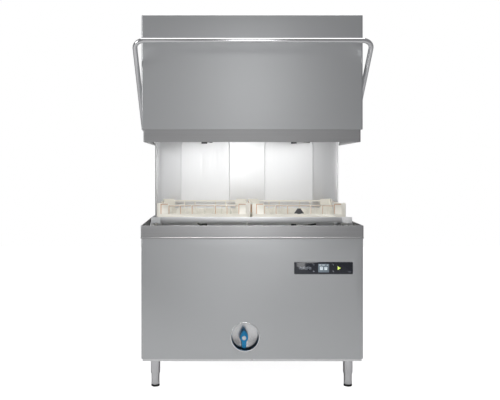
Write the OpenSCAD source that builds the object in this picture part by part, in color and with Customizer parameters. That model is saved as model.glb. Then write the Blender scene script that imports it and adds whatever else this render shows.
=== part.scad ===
// Hood-type commercial dishwasher for two racks side by side, drawn with its hood raised.
// Origin: on the floor under the middle of the whole machine. +X right, +Y to the back, +Z up.
// Inside each module the depth (y) is counted from the front face of the cabinet.

/* [Cabinet] */
// Width of the cabinet
body_w = 1155; // [1140:5:1400]
// Depth of the cabinet
body_d = 750; // [745:5:950]
// Height of the cabinet's underside above the floor
foot_h = 143; // [110:1:200]
// Height of the base tray
tray_h = 13; // [8:1:30]
// Inset of the base tray from the cabinet's faces
tray_inset = 6.5; // [2:0.5:20]
// Height of the front panel
front_h = 626; // [600:1:760]
// Sheet steel thickness
sheet_t = 1.5; // [1:0.1:2]
// Radius of the upright front corners
corner_r = 9; // [5:0.5:20]

/* [Rim] */
// Height of the collar around the tank
rim_h = 68; // [50:1:110]
// How far the collar stands proud of the cabinet
rim_proud = 2.5; // [0:0.5:6]

/* [Hood] */
// Height of the hood's outer shell
hood_h = 595; // [560:1:760]
// How far the hood lowers to close
hood_travel = 490; // [400:1:520]
// Gap left between the closed shell and the collar
hood_gap = 10; // [4:1:25]
// How much narrower the hood is than the cabinet, on each side
hood_inset = 1.5; // [0:0.5:10]
// Height of the liner's band below the shell
band_h = 65; // [40:1:66]
// Distance from the shell's outside to the liner's outside
band_inset = 9; // [6:0.5:20]
// Distance from the hood's top down to the top of its liner
top_gap = 40; // [20:1:80]

/* [Handle] */
// Diameter of the handle tube
handle_tube = 25; // [18:1:32]
// Distance of the bar's centre in front of the hood
handle_out = 115; // [60:1:160]
// Height of the bar above the hood's lower edge
handle_up = 442; // [300:1:520]
// Depth of the arms' fixing points behind the hood's front
handle_fix_d = 350; // [250:5:450]
// Height of the fixing points above the hood's lower edge
handle_fix_up = 22; // [18:1:80]
// Gap between the hood's side and the arm
handle_side_gap = 11.5; // [6:0.5:30]
// Bend radius on the tube's centre line
handle_bend = 50; // [35:1:90]

/* [Racks] */
// Width and depth of a rack
rack_size = 500; // [480:5:530]
// Height of a rack
rack_h = 92; // [80:1:150]
// Gap between the two racks
rack_gap = 10; // [6:1:20]
// Depth of the racks' front behind the cabinet's front
rack_front = 97; // [92:1:130]
// Wall thickness of a rack
rack_wall = 4; // [2.5:0.5:6]
// Height of the front and rear guide rails
rail_h = 31; // [15:1:45]
// Height of the rails' foot above the collar's top
rail_up = 8; // [4:1:30]
// Thickness of the rails
rail_t = 3; // [2:0.5:5]
// Depth of the front rail behind the cabinet's front
rail_front = 80; // [70:1:86]

/* [Spray arms] */
// Reach of a wash arm from its centre
wash_reach = 245; // [200:1:247]
// Reach of a rinse arm from its centre
rinse_reach = 232; // [190:1:240]
// Radius of the fixed spindles
spindle_r = 8; // [6:0.5:10]
// Running clearance of the arms on their spindles
spindle_fit = 0.08; // [0.02:0.01:0.1]
// Outer radius of the wash water pipes
pipe_r = 19; // [16:0.5:20]

/* [Tank] */
// Depth of the tank's shelf below the collar's floor
shelf_drop = 82; // [70:1:110]
// Depth of the sump below the shelf
sump_drop = 140; // [100:1:160]
// Gap between the tank's walls and the cabinet's sides
tank_inset = 27.5; // [25:0.5:45]
// Width of the tank's shelf at the sides
shelf_w = 45; // [42:1:60]

/* [Drain] */
// Distance of the drain recess's centre to the left of the middle
cup_x = 37; // [30:1:60]
// Height of the recess's centre above the base tray
cup_up = 114; // [100:1:130]
// Radius of the hole for the recess
cup_r = 72; // [71:0.5:88]
// Depth of the recess
cup_depth = 56; // [50:1:62]
// Radius of the drain pipes
drain_r = 16; // [14:0.5:18]
// Radius of the valve's ball
ball_r = 20; // [18:0.5:22]

/* [Controls] */
// Width of the control fascia
fascia_w = 305; // [295:1:340]
// Height of the control fascia
fascia_h = 63; // [60:1:70]
// Distance of the fascia's middle to the right of the middle
fascia_x = 370.5; // [340:0.5:380]
// Height of the fascia's middle above the base tray
fascia_up = 473.5; // [440:0.5:480]
// Thickness of the fascia
fascia_t = 3; // [2:0.5:5]

/* [Feet] */
// Diameter of the foot tubes
foot_tube = 50; // [46:1:60]
// Length of the foot tubes below the tray
foot_tube_h = 78; // [60:1:100]
// Distance of the feet from the cabinet's sides
foot_side = 69.5; // [60:0.5:120]
// Distance of the feet from the front and the back
foot_end = 60; // [45:1:120]
// Height of the rubber pads
pad_h = 10; // [6:1:14]

/* [Connections] */
// Reach of the connections behind the cabinet
connection_out = 25; // [18:1:40]
// Radius of the water inlet thread
inlet_r = 13.2; // [10:0.1:17]
// Radius of the cable gland's bore
gland_r = 9; // [6:0.5:12]

/* [Hidden] */
$fn = 48;
air = 0.3;
cut = 1;
half_w = body_w / 2;
base_z = foot_h;
panel_z = base_z + tray_h;
panel_top = panel_z + front_h;
rim_top = panel_top + rim_h;
hood_z = rim_top + hood_gap + hood_travel;
hood_top = hood_z + hood_h;
hood_half = half_w - hood_inset;
band_z = hood_z - band_h;
liner_half = hood_half - band_inset;
liner_top = hood_top - top_gap;
handle_reach = handle_out + handle_tube / 2;
front_y = handle_reach - (handle_reach + body_d + connection_out) / 2;

// Depths behind the racks, one behind the other
rack_rear = rack_front + rack_size;
rack_x = (rack_size + rack_gap) / 2;
arm_d = rack_front + rack_size / 2;
flange_gap = 5;
wall_d = rack_rear + 28;
rim_rear = wall_d + 20;
liner_rear = rim_rear - 5;
bar_d = rim_rear + 13;
bar_t = 24.5;
hood_rear = bar_d + bar_t + sheet_t;
post_d = hood_rear + 6;
riser_d = bar_d + 17;

// Frame tubes
tube = 25;
tube_wall = 2;
tube_x = half_w - 32.5;
tube_front = 3;
frame_top = panel_z + tube;
rear_tube_d = post_d + 8;
front_member_d = 170;
rear_member_d = 480;

// Guide posts, slide blocks and lifting springs
post_w = 50;
post_depth = 40;
post_wall = 3;
post_slot = 20;
post_x = half_w - 37.5;
post_top = hood_z + 150;
bar_w = 40;
bar_low = hood_z - 220;
block_h = 60;
web_t = 12;
spring_x = post_x - 50;
spring_d = post_d + 15;
spring_r = 14;
spring_bore = 12;
spring_foot_h = 24;
spring_top = panel_top - 22;
rod_r = 6;
rod_fit = 0.05;
rod_top = hood_z - 53;
bracket_t = 6;

flange_t = 2.5;

// Tank levels
tank_half = half_w - tank_inset;
tank_front = 30;
tank_rear = rack_rear + 3;
shelf_z = panel_top - shelf_drop;
sump_z = shelf_z - sump_drop;
sump_half = tank_half - shelf_w;
sump_front = 112;
sump_rear = tank_rear - 45;
filter_t = 3;

// Spray arm levels
pipe_drop = 32;
rail_z = rim_top + rail_up;
rack_z = rail_z + rail_t + air;
track_z = rail_z - tube;
lower_face = track_z - 49;
lower_pipe_z = panel_top - pipe_drop;
upper_face = band_z + 49;
upper_pipe_z = upper_face + 34;
wash_hub_h = 21.7;
elbow_r = pipe_r + 1;
cross_r = pipe_r - 2;
rinse_hub_h = 13.7;
knob_h = 11;
wall_top = upper_pipe_z + 32;

// Drain
cup_z = panel_z + cup_up;
lever_x = -cup_x - 4;
lever_z = cup_z - 11;
valve_d = cup_depth + 44;
valve_r = ball_r + 8;
sump_drain_d = 200;
drain_low_z = frame_top + drain_r + 8;

// Pumps and boiler
pump_z = frame_top + 89;
pump_x = 120;
motor_r = 65;
volute_r = 80;
boiler_r = 95;
boiler_z = frame_top + 219;

// Controls
fascia_z = panel_z + fascia_up;
key_r = 6;
start_r = 13;
key_gap = 0.4;
display_w = 57;
display_h = 45;
key_side = 51;
key_rise = 17;
start_x = fascia_x + 80;
display_mid = fascia_x + 0.5;

// ---------- shapes shared by the sub-parts ----------
// Everything that is placed by its depth behind the cabinet's front
module from_front() {
    translate([0, front_y, 0]) children();
}

module both_sides() {
    children();
    mirror([1, 0, 0]) children();
}

// A block between two corners
module block(low, high) {
    translate(low) cube(high - low);
}

module rod_x(x0, x1, d, z, r) {
    translate([x0, d, z]) rotate([0, 90, 0]) cylinder(r = r, h = x1 - x0);
}

module rod_y(d0, d1, x, z, r) {
    translate([x, d0, z]) rotate([-90, 0, 0]) cylinder(r = r, h = d1 - d0);
}

module rod_z(z0, z1, x, d, r) {
    translate([x, d, z0]) cylinder(r = r, h = z1 - z0);
}

// A plan shape with its two front corners rounded
module plan_outline(half, d0, d1, r) {
    translate([-half, d0 + r]) square([2 * half, d1 - d0 - r]);
    translate([r - half, d0]) square([2 * (half - r), r]);
    for (side = [-1, 1]) {
        translate([side * (half - r), d0 + r]) circle(r = r);
    }
}

// A sheet wrapped round the front and both sides, open at the back
module wrap(half, d0, d1, r, t) {
    difference() {
        plan_outline(half, d0, d1, r);
        plan_outline(half - t, d0 + t, d1 + cut, max(r - t, 0.5));
    }
}

module wrapped_sheet(half, d0, d1, r, z0, z1) {
    translate([0, 0, z0]) linear_extrude(z1 - z0) wrap(half, d0, d1, r, sheet_t);
}

// An upright tube of square section, open at both ends
module square_post(x, d, z0, z1) {
    difference() {
        block([x - tube / 2, d, z0], [x + tube / 2, d + tube, z1]);
        block(
            [x - tube / 2 + tube_wall, d + tube_wall, z0 - cut],
            [x + tube / 2 - tube_wall, d + tube - tube_wall, z1 + cut]
        );
    }
}

// A square tube along X, with closed ends
module square_beam(half, d, z) {
    difference() {
        block([-half, d, z], [half, d + tube, z + tube]);
        block(
            [tube_wall - half, d + tube_wall, z + tube_wall],
            [half - tube_wall, d + tube - tube_wall, z + tube - tube_wall]
        );
    }
}

// ---------- structure ----------
module base_frame() {
    color([0.62, 0.63, 0.64]) from_front() {
        square_beam(tube_x + tube / 2, tube_front, panel_z);
        square_beam(tube_x + tube / 2, rear_tube_d, panel_z);
        square_beam(tube_x - tube / 2, front_member_d - tube / 2, panel_z);
        square_beam(tube_x - tube / 2, rear_member_d - tube / 2, panel_z);
        both_sides() {
            difference() {
                block(
                    [tube_x - tube / 2, tube_front + tube, panel_z],
                    [tube_x + tube / 2, rear_tube_d, frame_top]
                );
                block(
                    [tube_x - tube / 2 + tube_wall, tube_front + tube + tube_wall, panel_z + tube_wall],
                    [tube_x + tube / 2 - tube_wall, rear_tube_d - tube_wall, frame_top - tube_wall]
                );
            }
            square_post(tube_x, tube_front, frame_top, panel_top - sheet_t);
            square_post(tube_x, rim_rear - tube - 5, frame_top, panel_top - sheet_t);
        }
    }
}

module base_tray() {
    tray_half = half_w - tray_inset;
    color([0.6, 0.61, 0.62]) from_front() difference() {
        block([-tray_half, tray_inset, base_z], [tray_half, body_d - tray_inset, panel_z]);
        block(
            [sheet_t - tray_half, tray_inset + sheet_t, base_z + sheet_t],
            [tray_half - sheet_t, body_d - tray_inset - sheet_t, panel_z + cut]
        );
    }
}

module front_panel() {
    return_d = tank_front;
    lip = tube_front - sheet_t;
    box_gap = 1;
    color([0.64, 0.65, 0.66]) from_front() difference() {
        wrapped_sheet(half_w, 0, return_d, corner_r, panel_z, panel_top);
        rod_y(-cut, sheet_t + lip, -cup_x, cup_z, cup_r);
        block(
            [fascia_x - fascia_w / 2 + 10 - box_gap, -cut, fascia_z - fascia_h / 2 + 5 - box_gap],
            [fascia_x + fascia_w / 2 - 10 + box_gap, sheet_t + cut, fascia_z + fascia_h / 2 - 5 + box_gap]
        );
    }
}

module side_panel() {
    lip = 12;
    color([0.62, 0.63, 0.64]) from_front() {
        block([half_w - sheet_t, tank_front, panel_z], [half_w, body_d - sheet_t, panel_top]);
        block(
            [half_w - sheet_t - lip, body_d - 2 * sheet_t, panel_z],
            [half_w - sheet_t, body_d - sheet_t, panel_top]
        );
    }
}

module left_panel() {
    mirror([1, 0, 0]) side_panel();
}

module right_panel() {
    side_panel();
}

// Back sheet, with the deck behind the collar and its two slots for the hood's carriage
module rear_panel() {
    slot_in = spring_x - spring_r - 6;
    slot_out = post_x + post_w / 2 + 3;
    inlet_z = panel_z + 94;
    color([0.6, 0.61, 0.62]) from_front() difference() {
        union() {
            block([-half_w, body_d - sheet_t, panel_z], [half_w, body_d, rim_top]);
            block([-half_w, rim_rear, rim_top - sheet_t], [half_w, body_d - sheet_t, rim_top]);
            both_sides() block(
                [half_w - sheet_t, rim_rear, panel_top],
                [half_w, body_d - sheet_t, rim_top - sheet_t]
            );
        }
        both_sides() block(
            [slot_in, bar_d - 3, rim_top - sheet_t - cut],
            [slot_out, post_d + post_depth + 3, rim_top + cut]
        );
        rod_z(rim_top - sheet_t - cut, rim_top + cut, 0, riser_d, pipe_r + 2);
        rod_y(body_d - sheet_t - cut, body_d + cut, -300, inlet_z, inlet_r + 0.3);
        rod_y(body_d - sheet_t - cut, body_d + cut, 300, inlet_z, gland_r + 4.5);
        rod_y(body_d - sheet_t - cut, body_d + cut, lever_x, drain_low_z, drain_r + 0.3);
    }
}

// Collar round the tank, with the gutter floor that the hood's band dips over
module tank_rim() {
    out = half_w + rim_proud;
    floor_inset = 1.5;
    color([0.6, 0.61, 0.63]) from_front() {
        difference() {
            union() {
                wrapped_sheet(out, -rim_proud, rim_rear, corner_r, panel_top, rim_top);
                translate([0, 0, panel_top]) linear_extrude(sheet_t)
                    plan_outline(out - sheet_t, sheet_t - rim_proud, rim_rear, corner_r - sheet_t);
                block(
                    [sheet_t - out, rim_rear - sheet_t, panel_top + sheet_t],
                    [out - sheet_t, rim_rear, rim_top]
                );
            }
            block(
                [floor_inset - tank_half, tank_front + floor_inset, panel_top - cut],
                [tank_half - floor_inset, tank_rear - floor_inset, panel_top + sheet_t + cut]
            );
        }
    }
}

module wash_tank() {
    flange_half = half_w - sheet_t - 1;
    color([0.8, 0.81, 0.82]) from_front() difference() {
        union() {
            translate([0, 0, panel_top - sheet_t]) linear_extrude(sheet_t)
                plan_outline(flange_half, sheet_t + 0.5, rim_rear - 1, corner_r - 1);
            block([-tank_half, tank_front, shelf_z - sheet_t], [tank_half, tank_rear, panel_top]);
        }
        block(
            [sheet_t - tank_half, tank_front + sheet_t, shelf_z],
            [tank_half - sheet_t, tank_rear - sheet_t, panel_top + cut]
        );
        block(
            [sheet_t - sump_half, sump_front + sheet_t, shelf_z - sheet_t - cut],
            [sump_half - sheet_t, sump_rear - sheet_t, shelf_z + cut]
        );
        rod_y(tank_rear - sheet_t - cut, tank_rear + cut, 0, lower_pipe_z, pipe_r + 0.3);
    }
}

// Deep part under the tank's shelf, with its drain and the two pump inlets
module tank_sump() {
    color([0.8, 0.81, 0.82]) from_front() difference() {
        block([-sump_half, sump_front, sump_z], [sump_half, sump_rear, shelf_z - sheet_t]);
        block(
            [sheet_t - sump_half, sump_front + sheet_t, sump_z + sheet_t],
            [sump_half - sheet_t, sump_rear - sheet_t, shelf_z]
        );
        rod_z(sump_z - cut, sump_z + sheet_t + cut, lever_x, sump_drain_d, drain_r - 2);
        both_sides() rod_z(
            sump_z - cut, sump_z + sheet_t + cut, pump_x - 45, rear_member_d, pipe_r + 1
        );
    }
}

// Two flat strainer plates with raised edges, laid over the sump
module tank_filters() {
    lap = 8;
    edge_h = 9;
    edge_w = 3;
    filter_half = sump_half + lap;
    color([0.7, 0.71, 0.73]) from_front() for (side = [0, 1]) mirror([side, 0, 0]) {
        difference() {
            block([2, sump_front - 2, shelf_z], [filter_half, sump_rear + 4, shelf_z + edge_h]);
            block(
                [2 + edge_w, sump_front - 2 + edge_w, shelf_z + filter_t],
                [filter_half - edge_w, sump_rear + 4 - edge_w, shelf_z + edge_h + cut]
            );
            if (side == 1) {
                rod_z(shelf_z - cut, shelf_z + edge_h + cut, -lever_x, sump_drain_d, 30);
            }
        }
    }
}

// Standing overflow pipe that plugs the drain, with its basket
module overflow_strainer() {
    pipe_out = 15;
    pipe_in = 12.5;
    basket_r = 28;
    basket_t = 1.5;
    top = shelf_z + 34;
    color([0.25, 0.26, 0.28]) from_front() difference() {
        union() {
            rod_z(sump_z + sheet_t, top, lever_x, sump_drain_d, pipe_out);
            rod_z(shelf_z - 70, shelf_z - 70 + basket_t, lever_x, sump_drain_d, basket_r);
            difference() {
                rod_z(shelf_z - 70, shelf_z + 12, lever_x, sump_drain_d, basket_r);
                rod_z(shelf_z - 70, shelf_z + 12 + cut, lever_x, sump_drain_d, basket_r - basket_t);
            }
        }
        rod_z(sump_z, top + cut, lever_x, sump_drain_d, pipe_in);
    }
}

module u_element(x0, x1, d0, d1, z, r) {
    rod_x(x0, x1, d0, z, r);
    rod_x(x0, x1, d1, z, r);
    rod_y(d0, d1, x1, z, r);
    for (d = [d0, d1]) {
        translate([x1, d, z]) sphere(r = r);
    }
}

module heating_elements() {
    element_r = 5;
    boiler_end = -pump_x;
    color([0.5, 0.5, 0.52]) from_front() {
        u_element(150, sump_half - 40, 230, 330, sump_z + 30, element_r);
        u_element(
            boiler_end - 320, boiler_end - 60, front_member_d - 35, front_member_d + 35, boiler_z, element_r
        );
    }
}

// ---------- drain ----------
// Dished recess in the front panel that the drain lever sits in
module drain_cup() {
    ring_w = 5;
    ring_t = 2;
    wall_r = cup_r - 0.2;
    color([0.75, 0.76, 0.78]) from_front() difference() {
        union() {
            rod_y(-ring_t, 0, -cup_x, cup_z, cup_r + ring_w);
            rod_y(-ring_t, cup_depth + sheet_t, -cup_x, cup_z, wall_r);
        }
        rod_y(-ring_t - cut, cup_depth, -cup_x, cup_z, wall_r - sheet_t);
        rod_y(cup_depth - cut, cup_depth + sheet_t + cut, lever_x, lever_z, 12);
    }
}

// Quarter-turn ball valve with its bonnet towards the recess
module drain_valve() {
    bonnet_r = 11;
    bonnet_end = cup_depth - 4;
    color([0.35, 0.36, 0.38]) from_front() difference() {
        union() {
            rod_z(lever_z - valve_r - 8, lever_z + valve_r + 8, lever_x, valve_d, valve_r);
            rod_y(bonnet_end, valve_d, lever_x, lever_z, bonnet_r);
        }
        translate([lever_x, valve_d, lever_z]) sphere(r = ball_r + air);
        rod_z(lever_z - valve_r - 9, lever_z + valve_r + 9, lever_x, valve_d, drain_r - 2);
        rod_y(bonnet_end - cut, valve_d, lever_x, lever_z, rod_r + rod_fit);
    }
}

module valve_stem() {
    color([0.7, 0.7, 0.72]) from_front() difference() {
        union() {
            translate([lever_x, valve_d, lever_z]) sphere(r = ball_r);
            rod_y(cup_depth - 18, valve_d, lever_x, lever_z, rod_r);
        }
        rod_z(lever_z - ball_r - 1, lever_z + ball_r + 1, lever_x, valve_d, drain_r - 4);
    }
}

// Pointed lever with a straight tail and a round cap over its screw
module drain_lever() {
    hub_w = 43;
    tip_up = 40;
    tail_w = 24;
    tail_down = 54;
    lever_t = 13;
    cap_r = 11;
    cap_t = 3;
    lever_front = cup_depth - 18 - lever_t;
    color([0.0, 0.45, 0.8]) from_front() translate([lever_x, lever_front + lever_t, lever_z])
        rotate([90, 0, 0]) linear_extrude(lever_t) {
            circle(d = hub_w);
            polygon([
                [-hub_w / 2, 0], [-hub_w / 2 + 4, 20], [-5, tip_up], [5, tip_up],
                [hub_w / 2 - 4, 20], [hub_w / 2, 0]
            ]);
            translate([-tail_w / 2, -tail_down]) square([tail_w, tail_down]);
        }
    color("white") from_front()
        rod_y(lever_front - cap_t, lever_front, lever_x, lever_z, cap_r);
}

// Pipes from the tank to the valve and from the valve to the back
module drain_pipes() {
    inner = drain_r - 2;
    bend_z = lever_z + 86;
    valve_low = lever_z - valve_r - 8;
    valve_high = lever_z + valve_r + 8;
    color([0.3, 0.31, 0.33]) from_front() {
        difference() {
            union() {
                rod_z(bend_z, sump_z, lever_x, sump_drain_d, drain_r);
                rod_y(valve_d, sump_drain_d, lever_x, bend_z, drain_r);
                rod_z(valve_high, bend_z, lever_x, valve_d, drain_r);
                for (d = [valve_d, sump_drain_d]) {
                    translate([lever_x, d, bend_z]) sphere(r = drain_r);
                }
            }
            rod_z(bend_z, sump_z + cut, lever_x, sump_drain_d, inner);
            rod_y(valve_d, sump_drain_d, lever_x, bend_z, inner);
            rod_z(valve_high - cut, bend_z, lever_x, valve_d, inner);
        }
        difference() {
            union() {
                rod_z(drain_low_z, valve_low, lever_x, valve_d, drain_r);
                translate([lever_x, valve_d, drain_low_z]) sphere(r = drain_r);
                rod_y(valve_d, body_d + flange_t, lever_x, drain_low_z, drain_r);
                rod_y(body_d - sheet_t - 6, body_d - sheet_t, lever_x, drain_low_z, drain_r + 6);
                rod_y(body_d, body_d + flange_t, lever_x, drain_low_z, drain_r + 6);
                rod_y(body_d, body_d + connection_out, lever_x, drain_low_z, drain_r - 0.5);
            }
            rod_z(drain_low_z, valve_low + cut, lever_x, valve_d, inner);
            rod_y(valve_d, body_d + connection_out + cut, lever_x, drain_low_z, inner);
        }
    }
}

// ---------- water system ----------
module one_pump() {
    volute_w = 50;
    motor_len = 210;
    foot_w = 60;
    out_z = pump_z + volute_r - pipe_r;
    color([0.2, 0.21, 0.23]) {
        rod_x(pump_x, pump_x + volute_w, rear_member_d, pump_z, volute_r);
        rod_y(rear_member_d, tank_rear, pump_x + volute_w / 2, out_z, pipe_r);
        rod_x(pump_x - 45, pump_x, rear_member_d, pump_z, pipe_r);
        translate([pump_x - 45, rear_member_d, pump_z]) sphere(r = pipe_r);
        rod_z(pump_z, sump_z, pump_x - 45, rear_member_d, pipe_r);
    }
    color([0.75, 0.76, 0.78]) {
        rod_x(pump_x + volute_w, pump_x + volute_w + motor_len, rear_member_d, pump_z, motor_r);
        difference() {
            block(
                [pump_x + 100, rear_member_d - foot_w / 2, frame_top],
                [pump_x + 100 + foot_w, rear_member_d + foot_w / 2, pump_z]
            );
            rod_x(pump_x, pump_x + 300, rear_member_d, pump_z, motor_r);
        }
    }
}

module wash_pumps() {
    from_front() both_sides() one_pump();
}

module boiler() {
    shell_t = 2;
    length = 410;
    start = -pump_x - length;
    saddle_w = 20;
    saddle_depth = 120;
    color([0.78, 0.79, 0.8]) from_front() {
        difference() {
            rod_x(start, start + length, front_member_d, boiler_z, boiler_r);
            rod_x(
                start + shell_t, start + length - shell_t, front_member_d, boiler_z, boiler_r - shell_t
            );
        }
        for (x = [start + 60, start + length - 80]) {
            difference() {
                block(
                    [x, front_member_d - saddle_depth / 2, frame_top],
                    [x + saddle_w, front_member_d + saddle_depth / 2, boiler_z]
                );
                rod_x(x - cut, x + saddle_w + cut, front_member_d, boiler_z, boiler_r);
            }
        }
    }
}

// Upright pump that feeds the rinse arms, with its pipe to the riser
module rinse_pump() {
    x = -half_w + 102;
    pump_r = 48;
    pump_h = 190;
    line_r = 8;
    line_z = frame_top + 320;
    color([0.25, 0.3, 0.4]) from_front() {
        rod_z(frame_top, frame_top + pump_h, x, rear_member_d, pump_r);
        rod_z(frame_top + pump_h, line_z, x, rear_member_d, line_r);
        translate([x, rear_member_d, line_z]) sphere(r = line_r);
        rod_y(rear_member_d, riser_d, x, line_z, line_r);
        translate([x, riser_d, line_z]) sphere(r = line_r);
        rod_x(x, -pipe_r - 0.5, riser_d, line_z, line_r);
    }
}

// Cross pipe with two upright spindles, pointing up (1) or down (-1)
module spray_header(pipe_z, face_z, way) {
    stub = wash_hub_h + rinse_hub_h + 2 * air + 6;
    rod_x(-rack_x, rack_x, arm_d, pipe_z, cross_r);
    both_sides() {
        translate([rack_x, arm_d, pipe_z]) sphere(r = pipe_r);
        rod_z(min(pipe_z, face_z), max(pipe_z, face_z), rack_x, arm_d, cross_r - 2);
        rod_z(min(face_z, face_z + way * stub), max(face_z, face_z + way * stub), rack_x, arm_d, spindle_r);
    }
}

module lower_manifold() {
    color([0.7, 0.71, 0.73]) from_front() {
        spray_header(lower_pipe_z, lower_face, 1);
        rod_y(arm_d, riser_d - pipe_r - 6, 0, lower_pipe_z, pipe_r);
    }
}

// Riser behind the splash wall, fed by both pumps, and the pipe over the racks
module upper_manifold() {
    out_z = pump_z + volute_r - pipe_r;
    out_x = pump_x + 25;
    color([0.72, 0.73, 0.75]) from_front() {
        rod_z(out_z, upper_pipe_z, 0, riser_d, pipe_r);
        rod_x(-out_x, out_x, riser_d, out_z, cross_r);
        both_sides() {
            translate([out_x, riser_d, out_z]) sphere(r = elbow_r);
            rod_y(tank_rear, riser_d, out_x, out_z, pipe_r);
        }
        translate([0, riser_d, out_z]) sphere(r = elbow_r);
        rod_y(riser_d - pipe_r - 6, riser_d, 0, lower_pipe_z, pipe_r - 1);
        translate([0, riser_d, upper_pipe_z]) sphere(r = elbow_r);
        rod_y(arm_d, riser_d, 0, upper_pipe_z, pipe_r);
        spray_header(upper_pipe_z, upper_face, -1);
    }
}

// A spray arm built upwards from its seat: flat tube with a hub
module wash_arm_shape(reach) {
    arm_w = 30;
    arm_h = 15;
    hub_r = 24;
    difference() {
        union() {
            translate([0, 0, 3]) linear_extrude(arm_h) {
                square([2 * reach - arm_w, arm_w], center = true);
                for (side = [-1, 1]) {
                    translate([side * (reach - arm_w / 2), 0]) circle(d = arm_w);
                }
            }
            cylinder(r = hub_r, h = wash_hub_h);
        }
        translate([0, 0, -cut]) cylinder(r = spindle_r + spindle_fit, h = wash_hub_h + 2 * cut);
    }
}

module rinse_arm_shape(reach) {
    arm_r = 5.5;
    hub_r = 15;
    knob_r = 17;
    difference() {
        union() {
            translate([-reach, 0, rinse_hub_h / 2]) rotate([0, 90, 0]) cylinder(r = arm_r, h = 2 * reach);
            cylinder(r = hub_r, h = rinse_hub_h);
        }
        translate([0, 0, -cut]) cylinder(r = spindle_r + spindle_fit, h = rinse_hub_h + 2 * cut);
    }
    translate([0, 0, rinse_hub_h]) difference() {
        cylinder(r = knob_r, h = knob_h);
        translate([0, 0, -cut]) cylinder(r = spindle_r + spindle_fit, h = 7 + cut);
    }
}

// Puts an arm on a lower (1) or upper (-1) spindle, turned by an angle
module on_spindle(side, way, offset, angle) {
    face = way > 0 ? lower_face : upper_face;
    from_front() translate([side * rack_x, arm_d, face + way * offset])
        rotate([way > 0 ? 0 : 180, 0, angle]) children();
}

module wash_arm(side, way, angle) {
    color([0.72, 0.73, 0.75]) on_spindle(side, way, air, angle) wash_arm_shape(wash_reach);
}

module rinse_arm(side, way, angle) {
    color([0.3, 0.31, 0.33])
        on_spindle(side, way, 2 * air + wash_hub_h, angle) rinse_arm_shape(rinse_reach);
}

// ---------- rack support and splash wall ----------
// Bearers on the tank's shelf that carry the two guide rails
module rack_track() {
    bearer_x = tank_half - sheet_t - 21;
    leg_w = 22;
    leg_front = rail_front + 4;
    leg_rear = tank_rear - 40;
    rail_half = half_w - 43.5;
    foot_lap = 42;
    rear_rail = rack_rear + 3 + rail_t;
    middle_rear = tank_rear + 2;
    color([0.75, 0.76, 0.78]) from_front() {
        both_sides() {
            block(
                [bearer_x - leg_w / 2, leg_front, track_z],
                [bearer_x + leg_w / 2, leg_rear + leg_w, rail_z]
            );
            for (d = [leg_front, leg_rear]) {
                block([bearer_x - leg_w / 2, d, shelf_z], [bearer_x + leg_w / 2, d + leg_w, track_z]);
            }
        }
        block([-leg_w / 2, leg_front, track_z], [leg_w / 2, middle_rear + leg_w, rail_z]);
        block([-leg_w / 2, leg_front, shelf_z], [leg_w / 2, leg_front + leg_w, track_z]);
        block(
            [-leg_w / 2, middle_rear, panel_top + sheet_t],
            [leg_w / 2, middle_rear + leg_w, track_z]
        );
        block([-rail_half, rail_front, rail_z], [rail_half, rail_front + foot_lap, rail_z + rail_t]);
        block(
            [-rail_half, rail_front, rail_z + rail_t],
            [rail_half, rail_front + rail_t, rail_z + rail_h]
        );
        block([-rail_half, rear_rail - foot_lap, rail_z], [rail_half, rear_rail, rail_z + rail_t]);
        block(
            [-rail_half, rear_rail - rail_t, rail_z + rail_t],
            [rail_half, rear_rail, rail_z + rail_h]
        );
    }
}

// Rounded plastic guides on the ends of the front rail
module rail_caps() {
    cap_w = 50;
    cap_t = 8;
    rail_half = half_w - 43.5;
    color([0.55, 0.56, 0.58]) from_front() both_sides() {
        difference() {
            union() {
                block(
                    [rail_half - cap_w, rail_front - cap_t, rail_z],
                    [rail_half - cap_t, rail_front, rail_z + rail_h]
                );
                rod_z(rail_z, rail_z + rail_h, rail_half - cap_t, rail_front, cap_t);
            }
            block(
                [rail_half - cap_w - cut, rail_front, rail_z - cut],
                [rail_half + cap_w, rail_front + cap_w, rail_z + rail_h + cut]
            );
        }
    }
}

// Fixed splash wall behind the racks, with two shallow pressings
module rear_wall() {
    wall_half = half_w - 25;
    press_w = 300;
    press_r = 50;
    press_t = 4;
    press_low = rim_top + 40;
    press_high = wall_top - 70;
    wall_foot = panel_top + sheet_t;
    color([0.9, 0.9, 0.91]) from_front() difference() {
        union() {
            block([-wall_half, wall_d, wall_foot], [wall_half, wall_d + sheet_t, wall_top]);
            both_sides() {
                block(
                    [wall_half - sheet_t, rack_rear + flange_gap, wall_foot],
                    [wall_half, wall_d, wall_top]
                );
                translate([rack_x, wall_d, 0]) rotate([90, 0, 0]) linear_extrude(press_t) {
                    translate([-press_w / 2, press_low]) square([press_w, press_high - press_low - press_r]);
                    translate([press_r - press_w / 2, press_low])
                        square([press_w - 2 * press_r, press_high - press_low]);
                    for (side = [-1, 1]) {
                        translate([side * (press_w / 2 - press_r), press_high - press_r])
                            circle(r = press_r);
                    }
                }
            }
        }
        rod_y(wall_d - cut, wall_d + sheet_t + cut, 0, upper_pipe_z, pipe_r + 1);
    }
}

// Two upright channels that guide the hood's slide blocks
module guide_posts() {
    color([0.6, 0.61, 0.63]) from_front() both_sides() difference() {
        block(
            [post_x - post_w / 2, post_d, frame_top],
            [post_x + post_w / 2, post_d + post_depth, post_top]
        );
        block(
            [post_x - post_w / 2 + post_wall, post_d + post_wall, frame_top + post_wall],
            [post_x + post_w / 2 - post_wall, post_d + post_depth - post_wall, post_top + cut]
        );
        block(
            [post_x - post_slot / 2, post_d - cut, frame_top + post_wall],
            [post_x + post_slot / 2, post_d + post_wall + cut, post_top + cut]
        );
    }
}

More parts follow.
